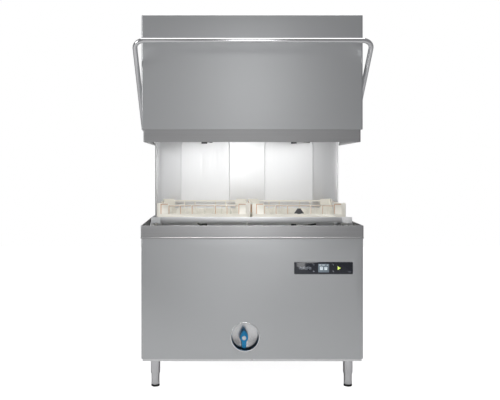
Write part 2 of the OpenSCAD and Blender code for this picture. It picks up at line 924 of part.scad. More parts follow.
module gas_cylinders() {
    cap_h = 10;
    color([0.12, 0.12, 0.13]) from_front() both_sides() difference() {
        rod_z(frame_top, spring_top, spring_x, spring_d, spring_r);
        rod_z(frame_top + spring_foot_h, spring_top - cap_h, spring_x, spring_d, spring_bore);
        rod_z(spring_top - cap_h - cut, spring_top + cut, spring_x, spring_d, rod_r + rod_fit);
    }
}

// ---------- controls ----------
module key_holes(r, d0, d1) {
    for (side = [-1, 1], rise = [-1, 1]) {
        rod_y(d0, d1, display_mid + side * key_side, fascia_z + rise * key_rise, r);
    }
}

module control_fascia() {
    round_r = 5;
    half_x = fascia_w / 2;
    half_z = fascia_h / 2;
    color([0.04, 0.06, 0.1]) from_front() difference() {
        translate([fascia_x, 0, fascia_z]) rotate([90, 0, 0]) linear_extrude(fascia_t) {
            square([fascia_w - 2 * round_r, fascia_h], center = true);
            square([fascia_w, fascia_h - 2 * round_r], center = true);
            for (side = [-1, 1], rise = [-1, 1]) {
                translate([side * (half_x - round_r), rise * (half_z - round_r)]) circle(r = round_r);
            }
        }
        block(
            [display_mid - display_w / 2, -fascia_t - cut, fascia_z - display_h / 2],
            [display_mid + display_w / 2, cut, fascia_z + display_h / 2]
        );
        key_holes(key_r + key_gap, -fascia_t - cut, cut);
        rod_y(-fascia_t - cut, cut, start_x, fascia_z, start_r + key_gap);
    }
}

module display() {
    recess = 0.5;
    color([0.4, 0.45, 0.5]) from_front() block(
        [display_mid - display_w / 2, recess - fascia_t, fascia_z - display_h / 2],
        [display_mid + display_w / 2, 0, fascia_z + display_h / 2]
    );
}

// Open-backed housing behind the fascia, with its circuit board
module control_box() {
    wall = 2;
    depth = 55;
    half_x = fascia_w / 2 - 10;
    half_z = fascia_h / 2 - 5;
    board_d = 20;
    color([0.2, 0.21, 0.22]) from_front() {
        difference() {
            block(
                [fascia_x - half_x, 0, fascia_z - half_z],
                [fascia_x + half_x, depth, fascia_z + half_z]
            );
            block(
                [fascia_x - half_x + wall, wall, fascia_z - half_z + wall],
                [fascia_x + half_x - wall, depth + cut, fascia_z + half_z - wall]
            );
            key_holes(key_r + key_gap, -cut, wall + cut);
            rod_y(-cut, wall + cut, start_x, fascia_z, start_r + key_gap);
        }
        block(
            [fascia_x - half_x + wall, board_d, fascia_z - half_z + wall],
            [fascia_x + half_x - wall, board_d + wall, fascia_z + half_z - wall]
        );
    }
}

module key_body(x, z, r) {
    key_proud = 0.5;
    key_back = 6;
    from_front() rod_y(-fascia_t - key_proud, key_back, x, z, r);
}

module start_key() {
    color([0.8, 0.9, 0.1]) key_body(start_x, fascia_z, start_r);
}

module menu_key(side, rise) {
    color([0.5, 0.55, 0.6]) key_body(display_mid + side * key_side, fascia_z + rise * key_rise, key_r);
}

// Closed box for the contactors and the main board
module electrical_box() {
    wall = 1.5;
    box_w = 300;
    box_depth = 150;
    box_h = 230;
    low = [half_w - 60 - box_w, 45, frame_top];
    high = low + [box_w, box_depth, box_h];
    color([0.7, 0.71, 0.72]) from_front() difference() {
        block(low, high);
        block(low + [wall, wall, wall], high - [wall, wall, wall]);
    }
}

// ---------- feet and connections ----------
module at_feet() {
    for (side = [-1, 1], d = [foot_end, body_d - foot_end]) {
        translate([side * (half_w - foot_side), d, 0]) children();
    }
}

module foot_tubes() {
    bore = foot_tube / 2 - 3.5;
    plate = 80;
    plate_t = 3;
    color([0.7, 0.71, 0.72]) from_front() at_feet() difference() {
        union() {
            translate([0, 0, base_z - foot_tube_h]) cylinder(d = foot_tube, h = foot_tube_h);
            translate([-plate / 2, -plate / 2 + 10, base_z - plate_t]) cube([plate, plate - 20, plate_t]);
        }
        translate([0, 0, base_z - foot_tube_h - cut]) cylinder(r = bore, h = foot_tube_h + cut - plate_t);
    }
}

module foot(side, back) {
    d = back ? body_d - foot_end : foot_end;
    x = side * (half_w - foot_side);
    leg_r = foot_tube / 2 - 3.5 - air;
    color([0.5, 0.51, 0.52]) from_front() rod_z(pad_h, base_z - 6, x, d, leg_r);
    color([0.08, 0.08, 0.08]) from_front() rod_z(0, pad_h, x, d, leg_r + 1);
}

module water_inlet() {
    z = panel_z + 94;
    x = -300;
    nut_r = 19;
    body_len = 60;
    color([0.75, 0.72, 0.6]) from_front() difference() {
        union() {
            rod_y(body_d - body_len, body_d, x, z, inlet_r - 1.2);
            rod_y(body_d, body_d + connection_out, x, z, inlet_r);
            rod_y(body_d, body_d + flange_t, x, z, nut_r);
            rod_y(body_d - sheet_t - 8, body_d - sheet_t, x, z, nut_r);
            block([x - 22, body_d - body_len, z - 18], [x + 22, body_d - 25, z + 30]);
        }
        rod_y(body_d - 40, body_d + connection_out + cut, x, z, inlet_r - 4);
    }
}

module power_gland() {
    z = panel_z + 94;
    x = 300;
    color([0.1, 0.1, 0.11]) from_front() difference() {
        union() {
            rod_y(body_d - 14, body_d + connection_out - 5, x, z, gland_r + 4);
            rod_y(body_d, body_d + 8, x, z, gland_r + 9);
            rod_y(body_d - sheet_t - 6, body_d - sheet_t, x, z, gland_r + 9);
        }
        rod_y(body_d - 15, body_d + connection_out, x, z, gland_r);
    }
}

// Screw heads that hold the side, back and front sheets
module panel_screws() {
    head_r = 4.5;
    head_t = 1.8;
    edge = 18;
    side_steps = [0, 0.5, 1];
    color([0.75, 0.76, 0.78]) from_front() {
        for (step = side_steps, z = [panel_z + edge, panel_top - edge]) {
            d = tank_front + edge + step * (body_d - tank_front - 3 * edge);
            both_sides() rod_x(half_w, half_w + head_t, d, z, head_r);
        }
        for (step = [-1, 0, 1], z = [panel_z + edge, panel_top - edge]) {
            rod_y(body_d, body_d + head_t, step * (half_w - edge), z, head_r);
        }
        rod_y(tray_inset - head_t, tray_inset, 0, base_z + tray_h / 2, head_r);
    }
}

// ---------- hood ----------
module hood_shell() {
    lip_t = sheet_t;
    flange_w = 26;
    color([0.66, 0.67, 0.68]) from_front() {
        wrapped_sheet(hood_half, 0, hood_rear, corner_r, hood_z, hood_top - sheet_t);
        translate([0, 0, hood_top - sheet_t]) linear_extrude(sheet_t)
            plan_outline(hood_half, 0, hood_rear, corner_r);
        translate([0, 0, hood_z]) linear_extrude(lip_t) difference() {
            plan_outline(hood_half - sheet_t, sheet_t, liner_rear, corner_r - sheet_t);
            plan_outline(liner_half, band_inset, liner_rear + cut, corner_r);
        }
        both_sides() block(
            [hood_half - flange_w, hood_rear - sheet_t, hood_z],
            [hood_half - sheet_t, hood_rear, hood_top - sheet_t]
        );
    }
}

module hood_liner() {
    color([0.85, 0.86, 0.87]) from_front() {
        wrapped_sheet(liner_half, band_inset, liner_rear, corner_r, band_z, liner_top - sheet_t);
        translate([0, 0, liner_top - sheet_t]) linear_extrude(sheet_t)
            plan_outline(liner_half, band_inset, liner_rear, corner_r);
    }
}

// Welded frame behind the hood that its slide blocks and lifting springs act on
module hood_carriage() {
    bar_x = post_x;
    beam_h = 30;
    beam_top = hood_top - sheet_t;
    inner = bar_x - bar_w / 2;
    wall = 2;
    color([0.55, 0.56, 0.58]) from_front() {
        both_sides() {
            difference() {
                block([inner, bar_d, bar_low], [inner + bar_w, bar_d + bar_t, beam_top]);
                block(
                    [inner + wall, bar_d + wall, bar_low - cut],
                    [inner + bar_w - wall, bar_d + bar_t - wall, beam_top - wall]
                );
            }
            block(
                [spring_x - 12, bar_d + 7, rod_top],
                [inner, bar_d + bar_t, rod_top + bracket_t]
            );
            block(
                [spring_x - 12, bar_d + bar_t, rod_top],
                [spring_x + 12, spring_d + 12, rod_top + bracket_t]
            );
        }
        difference() {
            block([-inner, bar_d, beam_top - beam_h], [inner, bar_d + bar_t, beam_top]);
            block(
                [wall - inner, bar_d + wall, beam_top - beam_h + wall],
                [inner - wall, bar_d + bar_t - wall, beam_top - wall]
            );
        }
    }
}

// Two low-friction blocks in each guide post
module slide_blocks() {
    side_play = 0.3;
    low = [bar_low + 10, post_top - 20 - block_h];
    block_half = post_w / 2 - post_wall - side_play;
    color([0.92, 0.92, 0.9]) from_front() both_sides() for (z = low) {
        block(
            [post_x - web_t / 2, bar_d + bar_t, z],
            [post_x + web_t / 2, post_d + post_wall + side_play, z + block_h]
        );
        block(
            [post_x - block_half, post_d + post_wall + side_play, z],
            [post_x + block_half, post_d + post_depth - post_wall - side_play, z + block_h]
        );
    }
}

// Bent tube: a bar across the front and two arms sloping down to the hood's sides, with their bolts
module handle() {
    tube_r = handle_tube / 2;
    run_d = handle_out + handle_fix_d;
    drop = handle_up - handle_fix_up;
    slope = atan2(drop, run_d);
    arm = sqrt(run_d * run_d + drop * drop);
    arm_x = hood_half + handle_side_gap + tube_r;
    boss_r = tube_r + 3.5;
    bolt_r = 9;
    fix_z = hood_z + handle_fix_up;
    color([0.8, 0.81, 0.82]) from_front() difference() {
        union() {
            translate([0, -handle_out, hood_z + handle_up]) rotate([-slope, 0, 0]) {
                rod_x(handle_bend - arm_x, arm_x - handle_bend, 0, 0, tube_r);
                both_sides() {
                    translate([arm_x - handle_bend, handle_bend, 0]) rotate([0, 0, -90])
                        rotate_extrude(angle = 90) translate([handle_bend, 0]) circle(r = tube_r);
                    rod_y(handle_bend, arm, arm_x, 0, tube_r);
                }
            }
            both_sides() rod_x(hood_half, arm_x + tube_r - 7, handle_fix_d, fix_z, boss_r);
        }
        both_sides() rod_x(
            arm_x + tube_r - 7, arm_x + tube_r + cut, handle_fix_d, fix_z, bolt_r + air
        );
    }
    color([0.7, 0.71, 0.73]) from_front() both_sides()
        rod_x(arm_x + tube_r - 7, arm_x + tube_r - 1, handle_fix_d, fix_z, bolt_r);
}

module gas_rods() {
    piston_h = 20;
    piston_low = spring_top - 35;
    piston_fit = 0.08;
    color([0.8, 0.81, 0.83]) from_front() both_sides() {
        rod_z(piston_low, rod_top, spring_x, spring_d, rod_r);
        difference() {
            rod_z(piston_low, piston_low + piston_h, spring_x, spring_d, spring_bore - piston_fit);
            rod_z(piston_low - cut, piston_low + piston_h + cut, spring_x, spring_d, rod_r - 1);
        }
    }
}

// ---------- racks ----------
// Open plastic basket: four walls with windows, a grid floor and raised corners
module rack(side) {
    outer_half = rack_size / 2;
    window_low = rack_h * 0.46;
    window_high = rack_h - 9;
    pitch = 62;
    rib = 8;
    centre_w = 2 * pitch - rib;
    window_w = pitch - rib;
    grid_pitch = 98;
    grid_w = 6;
    grid_h = 8;
    corner_w = 62;
    corner_up = 8;
    rack_d = front_y + rack_front + outer_half;
    color([0.93, 0.91, 0.85]) translate([side * rack_x, rack_d, rack_z]) {
        difference() {
            translate([-outer_half, -outer_half, 0]) cube([rack_size, rack_size, rack_h]);
            translate([rack_wall - outer_half, rack_wall - outer_half, -cut])
                cube([rack_size - 2 * rack_wall, rack_size - 2 * rack_wall, rack_h + 2 * cut]);
            for (turn = [0, 90]) rotate([0, 0, turn]) {
                translate([-centre_w / 2, -outer_half - cut, window_low])
                    cube([centre_w, rack_size + 2 * cut, window_high - window_low]);
                for (way = [-1, 1], step = [1, 2]) {
                    translate([way * (pitch * (step + 0.5)) - window_w / 2, -outer_half - cut, window_low])
                        cube([window_w, rack_size + 2 * cut, window_high - window_low]);
                }
            }
        }
        for (turn = [0, 90], step = [-2:2]) rotate([0, 0, turn]) {
            translate([rack_wall - outer_half, step * grid_pitch - grid_w / 2, 0])
                cube([rack_size - 2 * rack_wall, grid_w, grid_h]);
        }
        for (turn = [0:90:270]) rotate([0, 0, turn]) translate([-outer_half, -outer_half, 0]) {
            cube([corner_w, rack_wall, rack_h + corner_up]);
            cube([rack_wall, corner_w, rack_h + corner_up]);
        }
    }
}

module rack_left() {
    rack(-1);
}

module rack_right() {
    rack(1);
}

// ---------- the spray arms, keys and feet one by one ----------
module lower_wash_arm_left() {
    wash_arm(-1, 1, 25);
}

module lower_wash_arm_right() {
    wash_arm(1, 1, -35);
}

module upper_wash_arm_left() {
    wash_arm(-1, -1, 15);
}

module upper_wash_arm_right() {
    wash_arm(1, -1, -20);
}

module lower_rinse_arm_left() {
    rinse_arm(-1, 1, 100);
}

module lower_rinse_arm_right() {
    rinse_arm(1, 1, 50);
}

module upper_rinse_arm_left() {
    rinse_arm(-1, -1, 80);
}

module upper_rinse_arm_right() {
    rinse_arm(1, -1, 60);
}

base_frame();
base_tray();
front_panel();
left_panel();
right_panel();
rear_panel();
tank_rim();
wash_tank();
tank_sump();
tank_filters();
overflow_strainer();
heating_elements();
drain_cup();
drain_valve();
drain_pipes();
wash_pumps();
boiler();
rinse_pump();
lower_manifold();
upper_manifold();
rack_track();
rail_caps();
rear_wall();
guide_posts();
gas_cylinders();
control_fascia();
display();
control_box();
electrical_box();
foot_tubes();
water_inlet();
power_gland();
panel_screws();
hood_shell();
hood_liner();
hood_carriage();
slide_blocks();
handle();
gas_rods();
drain_lever();
valve_stem();
start_key();
menu_key(-1, 1);  // menu_key_1
menu_key(-1, -1);  // menu_key_2
menu_key(1, 1);  // menu_key_3
menu_key(1, -1);  // menu_key_4
lower_wash_arm_left();
lower_wash_arm_right();
upper_wash_arm_left();
upper_wash_arm_right();
lower_rinse_arm_left();
lower_rinse_arm_right();
upper_rinse_arm_left();
upper_rinse_arm_right();
rack_left();
rack_right();
foot(-1, false);  // foot_front_left
foot(1, false);  // foot_front_right
foot(-1, true);  // foot_rear_left
foot(1, true);  // foot_rear_right
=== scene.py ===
"""Looks of a hood-type dishwasher for two racks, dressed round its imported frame.

Every class below is one sub-assembly of the machine. It takes its places from the frame's own
boxes, builds its meshes in metres in the frame's coordinates and gives them their finishes.
"""

import logging
import math
from dataclasses import dataclass
from enum import Enum
from typing import Callable, Iterable, Sequence

import bmesh
import bpy
from mathutils import Matrix, Vector


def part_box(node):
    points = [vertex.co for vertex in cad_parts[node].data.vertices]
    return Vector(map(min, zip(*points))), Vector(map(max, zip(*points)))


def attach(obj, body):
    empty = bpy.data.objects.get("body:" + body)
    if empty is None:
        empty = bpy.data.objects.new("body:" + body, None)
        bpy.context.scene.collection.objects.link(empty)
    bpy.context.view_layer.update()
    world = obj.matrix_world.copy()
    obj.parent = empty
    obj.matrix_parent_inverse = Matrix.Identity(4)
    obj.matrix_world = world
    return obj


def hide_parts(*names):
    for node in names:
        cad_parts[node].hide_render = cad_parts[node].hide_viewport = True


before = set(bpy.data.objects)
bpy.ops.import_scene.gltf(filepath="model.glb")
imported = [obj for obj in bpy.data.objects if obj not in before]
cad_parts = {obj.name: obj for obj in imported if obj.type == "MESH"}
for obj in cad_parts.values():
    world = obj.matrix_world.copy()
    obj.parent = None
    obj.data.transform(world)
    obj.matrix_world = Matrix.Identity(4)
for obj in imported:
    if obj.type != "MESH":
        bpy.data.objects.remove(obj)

log = logging.getLogger("dishwasher")
Point = tuple[float, float, float]
Pair = tuple[float, float]
MM = 0.001
SHEET = 1.5 * MM
WELD = 1e-6
SMOOTH = 32.0


# ---------------------------------------------------------------- finishes
class Grain(Enum):
    """Which way the brushing of a steel sheet runs."""

    ACROSS = (1.2, 1.2, 520.0)
    UPRIGHT = (420.0, 420.0, 1.2)
    NONE = (9.0, 9.0, 9.0)


class Tree:
    """A small helper that adds and links the nodes of one material."""

    def __init__(self, name: str) -> None:
        """Starts an empty material with its output and shader."""
        self.material = bpy.data.materials.new(name)
        self.material.use_nodes = True
        self.nodes = self.material.node_tree.nodes
        self.links = self.material.node_tree.links
        self.nodes.clear()
        self.shader = self.nodes.new("ShaderNodeBsdfPrincipled")
        out = self.nodes.new("ShaderNodeOutputMaterial")
        self.links.new(self.shader.outputs[0], out.inputs[0])
        self.place = self.nodes.new("ShaderNodeTexCoord").outputs["Object"]

    def set(self, **values: object) -> None:
        """Sets the shader's own sockets, named with underscores for spaces."""
        for key, value in values.items():
            self.shader.inputs[key.replace("_", " ")].default_value = value

    def noise(self, scale: float, detail: float, stretch: Point = (1.0, 1.0, 1.0)) -> bpy.types.NodeSocket:
        """A noise pattern on the piece's own coordinates.

        Args:
            scale: Size of the pattern, per metre.
            detail: Octaves of finer noise.
            stretch: Scale along each axis before the noise is read.

        Returns:
            The socket with the noise value.
        """
        mapping = self.nodes.new("ShaderNodeMapping")
        mapping.inputs["Scale"].default_value = stretch
        self.links.new(self.place, mapping.inputs["Vector"])
        noise = self.nodes.new("ShaderNodeTexNoise")
        noise.inputs["Scale"].default_value = scale
        noise.inputs["Detail"].default_value = detail
        self.links.new(mapping.outputs[0], noise.inputs["Vector"])
        return noise.outputs["Fac"]

    def spread(self, value: bpy.types.NodeSocket, low: float, high: float) -> bpy.types.NodeSocket:
        """Maps the middle of a noise value to a range of numbers."""
        node = self.nodes.new("ShaderNodeMapRange")
        node.inputs["From Min"].default_value = 0.3
        node.inputs["From Max"].default_value = 0.7
        node.inputs["To Min"].default_value = low
        node.inputs["To Max"].default_value = high
        self.links.new(value, node.inputs["Value"])
        return node.outputs[0]

    def blend(
        self, factor: bpy.types.NodeSocket, first: Sequence[float], second: Sequence[float]
    ) -> bpy.types.NodeSocket:
        """Mixes two colours by a factor and returns the colour socket."""
        node = self.nodes.new("ShaderNodeMix")
        node.data_type = "RGBA"
        self.links.new(factor, node.inputs["Factor"])
        node.inputs["A"].default_value = (*first, 1.0)
        node.inputs["B"].default_value = (*second, 1.0)
        return node.outputs["Result"]

    def tint(self, colour: bpy.types.NodeSocket, factor: bpy.types.NodeSocket) -> bpy.types.NodeSocket:
        """Multiplies a colour by a grey factor and returns the colour socket."""
        node = self.nodes.new("ShaderNodeMix")
        node.data_type = "RGBA"
        node.blend_type = "MULTIPLY"
        node.inputs["Factor"].default_value = 1.0
        self.links.new(colour, node.inputs["A"])
        self.links.new(factor, node.inputs["B"])
        return node.outputs["Result"]

    def bump(self, height: bpy.types.NodeSocket, strength: float, distance: float) -> None:
        """Puts a bump on the shader from a height value."""
        node = self.nodes.new("ShaderNodeBump")
        node.inputs["Strength"].default_value = strength
        node.inputs["Distance"].default_value = distance
        self.links.new(height, node.inputs["Height"])
        self.links.new(node.outputs[0], self.shader.inputs["Normal"])

    def link(self, value: bpy.types.NodeSocket, socket: str) -> None:
        """Links a value to one of the shader's sockets."""
        self.links.new(value, self.shader.inputs[socket])


@dataclass(frozen=True)
class Steel:
    """Brushed or polished stainless steel."""

    name: str
    colour: Point
    rough: float
    grain: Grain = Grain.ACROSS
    streak: float = 0.06
    smear: float = 0.03
    relief: float = 0.12

    def make(self) -> bpy.types.Material:
        """Builds the material: fine brushing, faint cloudiness and uneven gloss."""
        tree = Tree(self.name)
        tree.set(Metallic=1.0)
        fine = tree.noise(1.0, 4.0, self.grain.value)
        broad = tree.noise(2.2, 3.0)
        dark = tuple(c * (1 - self.streak) for c in self.colour)
        light = tuple(min(1.0, c * (1 + self.streak)) for c in self.colour)
        colour = tree.blend(tree.spread(fine, 0.0, 1.0), dark, light)
        tree.link(tree.tint(colour, tree.spread(broad, 1 - self.smear, 1.0)), "Base Color")
        tree.link(tree.spread(fine, self.rough * 0.85, self.rough * 1.2), "Roughness")
        tree.bump(fine, self.relief, 0.4 * MM)
        return tree.material


@dataclass(frozen=True)
class Plastic:
    """Moulded plastic or rubber, with a fine skin and slight unevenness."""

    name: str
    colour: Point
    rough: float
    fleck: float = 0.05
    skin: float = 900.0
    relief: float = 0.06
    coat: float = 0.0
    glow: float = 0.0

    def make(self) -> bpy.types.Material:
        """Builds the material from a fine skin texture and broad tone changes."""
        tree = Tree(self.name)
        tree.set(Coat_Weight=self.coat, Emission_Strength=self.glow, Emission_Color=(*self.colour, 1.0))
        broad = tree.noise(14.0, 3.0)
        fine = tree.noise(self.skin, 2.0)
        dark = tuple(c * (1 - self.fleck) for c in self.colour)
        light = tuple(min(1.0, c * (1 + self.fleck)) for c in self.colour)
        tree.link(tree.blend(tree.spread(broad, 0.0, 1.0), dark, light), "Base Color")
        tree.link(tree.spread(fine, self.rough * 0.85, self.rough * 1.15), "Roughness")
        tree.bump(fine, self.relief, 0.2 * MM)
        return tree.material


@dataclass(frozen=True)
class Paint:
    """Painted or cast metal with a light orange-peel surface."""

    name: str
    colour: Point
    rough: float
    metallic: float = 0.0
    peel: float = 260.0

    def make(self) -> bpy.types.Material:
        """Builds the material from an orange-peel bump and a dusty tone."""
        tree = Tree(self.name)
        tree.set(Metallic=self.metallic)
        broad = tree.noise(9.0, 4.0)
        peel = tree.noise(self.peel, 2.0)
        dark = tuple(c * 0.88 for c in self.colour)
        light = tuple(min(1.0, c * 1.08) for c in self.colour)
        tree.link(tree.blend(tree.spread(broad, 0.0, 1.0), dark, light), "Base Color")
        tree.link(tree.spread(broad, self.rough * 0.9, self.rough * 1.15), "Roughness")
        tree.bump(peel, 0.12, 0.3 * MM)
        return tree.material


@dataclass(frozen=True)
class Palette:
    """Every finish of the machine."""

    cabinet: Steel = Steel("cabinet_steel", (0.56, 0.56, 0.565), 0.34)
    hood: Steel = Steel("hood_steel", (0.56, 0.56, 0.565), 0.34)
    collar: Steel = Steel("collar_steel", (0.56, 0.56, 0.565), 0.36)
    band: Steel = Steel("band_steel", (0.52, 0.52, 0.525), 0.44)
    bright: Steel = Steel("bright_steel", (0.93, 0.935, 0.94), 0.6, Grain.UPRIGHT, 0.02, 0.02, 0.05)
    wall: Steel = Steel("wall_steel", (0.93, 0.935, 0.94), 0.55, Grain.UPRIGHT, 0.02, 0.02, 0.05)
    tray: Steel = Steel("tray_steel", (0.86, 0.86, 0.865), 0.3, Grain.ACROSS, 0.03, 0.03, 0.05)
    tank: Steel = Steel("tank_steel", (0.62, 0.63, 0.64), 0.36, Grain.NONE, 0.04)
    polished: Steel = Steel("polished_steel", (0.82, 0.82, 0.825), 0.09, Grain.NONE, 0.02, 0.03, 0.01)
    satin: Steel = Steel("satin_tube", (0.68, 0.685, 0.69), 0.26, Grain.NONE, 0.03)
    dish: Steel = Steel("recess_steel", (0.86, 0.86, 0.865), 0.24, Grain.NONE, 0.04, 0.06, 0.03)
    # Painted shade: near-black steel on the drain cup's inner wall, standing in for its shadow and dark
    # reflection.
    recess: Steel = Steel("recess_wall", (0.2, 0.2, 0.205), 0.3, Grain.NONE, 0.04, 0.06, 0.03)
    post: Steel = Steel("post_steel", (0.3, 0.3, 0.305), 0.36, Grain.UPRIGHT, 0.04)
    rail: Steel = Steel("rail_steel", (0.9, 0.905, 0.91), 0.4, Grain.ACROSS, 0.04, 0.03, 0.08)
    black: Plastic = Plastic("black_plastic", (0.018, 0.018, 0.02), 0.45)
    rubber: Plastic = Plastic("rubber", (0.012, 0.012, 0.012), 0.7, 0.1, 500.0, 0.15)
    cream: Plastic = Plastic("rack_plastic", (0.95, 0.92, 0.885), 0.42, 0.03, 700.0, 0.05)
    # Painted shade: brown for the rack window reveals that face down and to the right, away from the
    # upper-left key light.
    rack_shade: Plastic = Plastic("rack_shade", (0.66, 0.42, 0.27), 0.5, 0.05, 700.0, 0.05)
    clip: Plastic = Plastic("clip_plastic", (0.07, 0.07, 0.075), 0.4)
    cap_grey: Plastic = Plastic("guide_plastic", (0.40, 0.405, 0.41), 0.42)
    cap_pale: Plastic = Plastic("pale_guide_plastic", (0.84, 0.845, 0.85), 0.4)
    glide: Plastic = Plastic("glide_plastic", (0.82, 0.82, 0.79), 0.5)
    fascia: Plastic = Plastic("fascia_glass", (0.006, 0.009, 0.018), 0.12, 0.2, 60.0, 0.0, 1.0)
    screen: Plastic = Plastic("screen_glass", (0.16, 0.2, 0.235), 0.2, 0.15, 200.0, 0.0, 0.6, 0.25)
    screen_mark: Plastic = Plastic("screen_mark", (0.55, 0.63, 0.66), 0.3, 0.1, 200.0, 0.0, 0.0, 0.55)
    mark: Plastic = Plastic("key_mark", (0.42, 0.45, 0.5), 0.4, 0.1, 200.0, 0.0, 0.0, 0.25)
    start: Plastic = Plastic("start_mark", (0.62, 0.78, 0.16), 0.35, 0.05, 200.0, 0.0, 0.0, 0.8)
    lever: Plastic = Plastic("lever_blue", (0.0, 0.27, 0.75), 0.45, 0.08, 400.0, 0.03)
    white: Plastic = Plastic("white_plastic", (0.86, 0.87, 0.88), 0.35, 0.02)
    pump: Paint = Paint("pump_paint", (0.05, 0.055, 0.065), 0.45)
    spring: Paint = Paint("spring_paint", (0.015, 0.015, 0.017), 0.3)
    brass: Paint = Paint("inlet_brass", (0.62, 0.47, 0.2), 0.3, 1.0)
    foot: Steel = Steel("foot_steel", (0.74, 0.74, 0.745), 0.14, Grain.NONE, 0.02, 0.03, 0.02)
    floor: Plastic = Plastic("studio_floor", (0.93, 0.93, 0.93), 0.6, 0.0, 50.0, 0.0)
    board: Plastic = Plastic("dark_housing", (0.04, 0.042, 0.045), 0.5)

    def material(self, name: str) -> bpy.types.Material:
        """Returns the material of a named finish, made once.

        Args:
            name: The finish's field name in this palette.

        Returns:
            The finished material.
        """
        finish = getattr(self, name)
        return bpy.data.materials.get(finish.name) or finish.make()


PALETTE = Palette()


# ---------------------------------------------------------------- shapes
@dataclass(frozen=True)
class Box:
    """The lowest and highest corner of one sub-part, in metres."""

    low: Vector
    high: Vector

    @classmethod
    def of(cls, node: str) -> "Box":
        """Reads the box of a node of the frame."""
        return cls(*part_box(node))

    @property
    def centre(self) -> Vector:
        """The middle of the box."""
        return (self.low + self.high) / 2

    @property
    def size(self) -> Vector:
        """The box's width, depth and height."""
        return self.high - self.low


def mm(*points: Pair) -> list[Pair]:
    """Turns points given in millimetres into metres."""
    return [(first * MM, second * MM) for first, second in points]


def arc(centre: Pair, radius: float, start: float, end: float, steps: int) -> list[Pair]:
    """Points along an arc.

    Args:
        centre: The arc's centre.
        radius: The arc's radius.
        start: The first angle in degrees.
        end: The last angle in degrees.
        steps: Number of stretches.

    Returns:
        The points, both ends included.
    """
    angles = [math.radians(start + (end - start) * i / steps) for i in range(steps + 1)]
    return [(centre[0] + radius * math.cos(a), centre[1] + radius * math.sin(a)) for a in angles]


def rounded_rectangle(
    half: Pair, radii: Sequence[float], centre: Pair = (0.0, 0.0), steps: int = 6
) -> list[Pair]:
    """An outline with rounded corners, anticlockwise from the lower right.

    Args:
        half: Half the width and half the height.
        radii: Corner radii: lower right, upper right, upper left, lower left.
        centre: The outline's middle.
        steps: Stretches in each corner.

    Returns:
        The outline's points.
    """
    signs = ((1, -1, -90), (1, 1, 0), (-1, 1, 90), (-1, -1, 180))
    points: list[Pair] = []
    for (sx, sy, start), radius in zip(signs, radii):
        corner = (centre[0] + sx * (half[0] - radius), centre[1] + sy * (half[1] - radius))
        points += arc(corner, radius, start, start + 90, steps)
    return points


def plan_path(
    half: float, front: float, back: float, radius: float, inset: float, closed: bool
) -> list[Pair]:
    """The plan of a sheet that wraps round a front and two sides.

    Args:
        half: Half the width outside.
        front: The y of the front face.
        back: The y of the back end.
        radius: Radius of the upright corners.
        inset: How far the path lies inside the outside.
        closed: Whether the back is wrapped too.

    Returns:
        Points from the back right, round the front, to the back left.
    """
    turn = max(radius - inset, 0.3 * MM)
    side = half - inset
    points = [] if closed else [(side, back)]
    if closed:
        points += arc((side - turn, back - inset - turn), turn, 90, 0, 5)
    points += arc((side - turn, front + inset + turn), turn, 0, -90, 5)
    points += arc((turn - side, front + inset + turn), turn, -90, -180, 5)
    if closed:
        points += arc((turn - side, back - inset - turn), turn, 180, 90, 5)
    else:
        points.append((-side, back))
    return points


def loft(
    part: bmesh.types.BMesh, rings: Sequence[Sequence[bmesh.types.BMVert]], shades: Sequence[int] = (0,)
) -> None:
    """Joins closed rings one to the next and closes the first and the last.

    Args:
        part: The mesh that holds the rings' points.
        rings: Rings with the same number of points each.
        shades: Number of the finish of each face between rings, repeated round the ring.
    """
    for first, second in zip(rings, rings[1:]):
        for i in range(len(first)):
            j = (i + 1) % len(first)
            part.faces.new(
                (first[i], first[j], second[j], second[i])
            ).material_index = shades[i % len(shades)]
    part.faces.new(rings[0])
    part.faces.new(rings[-1])


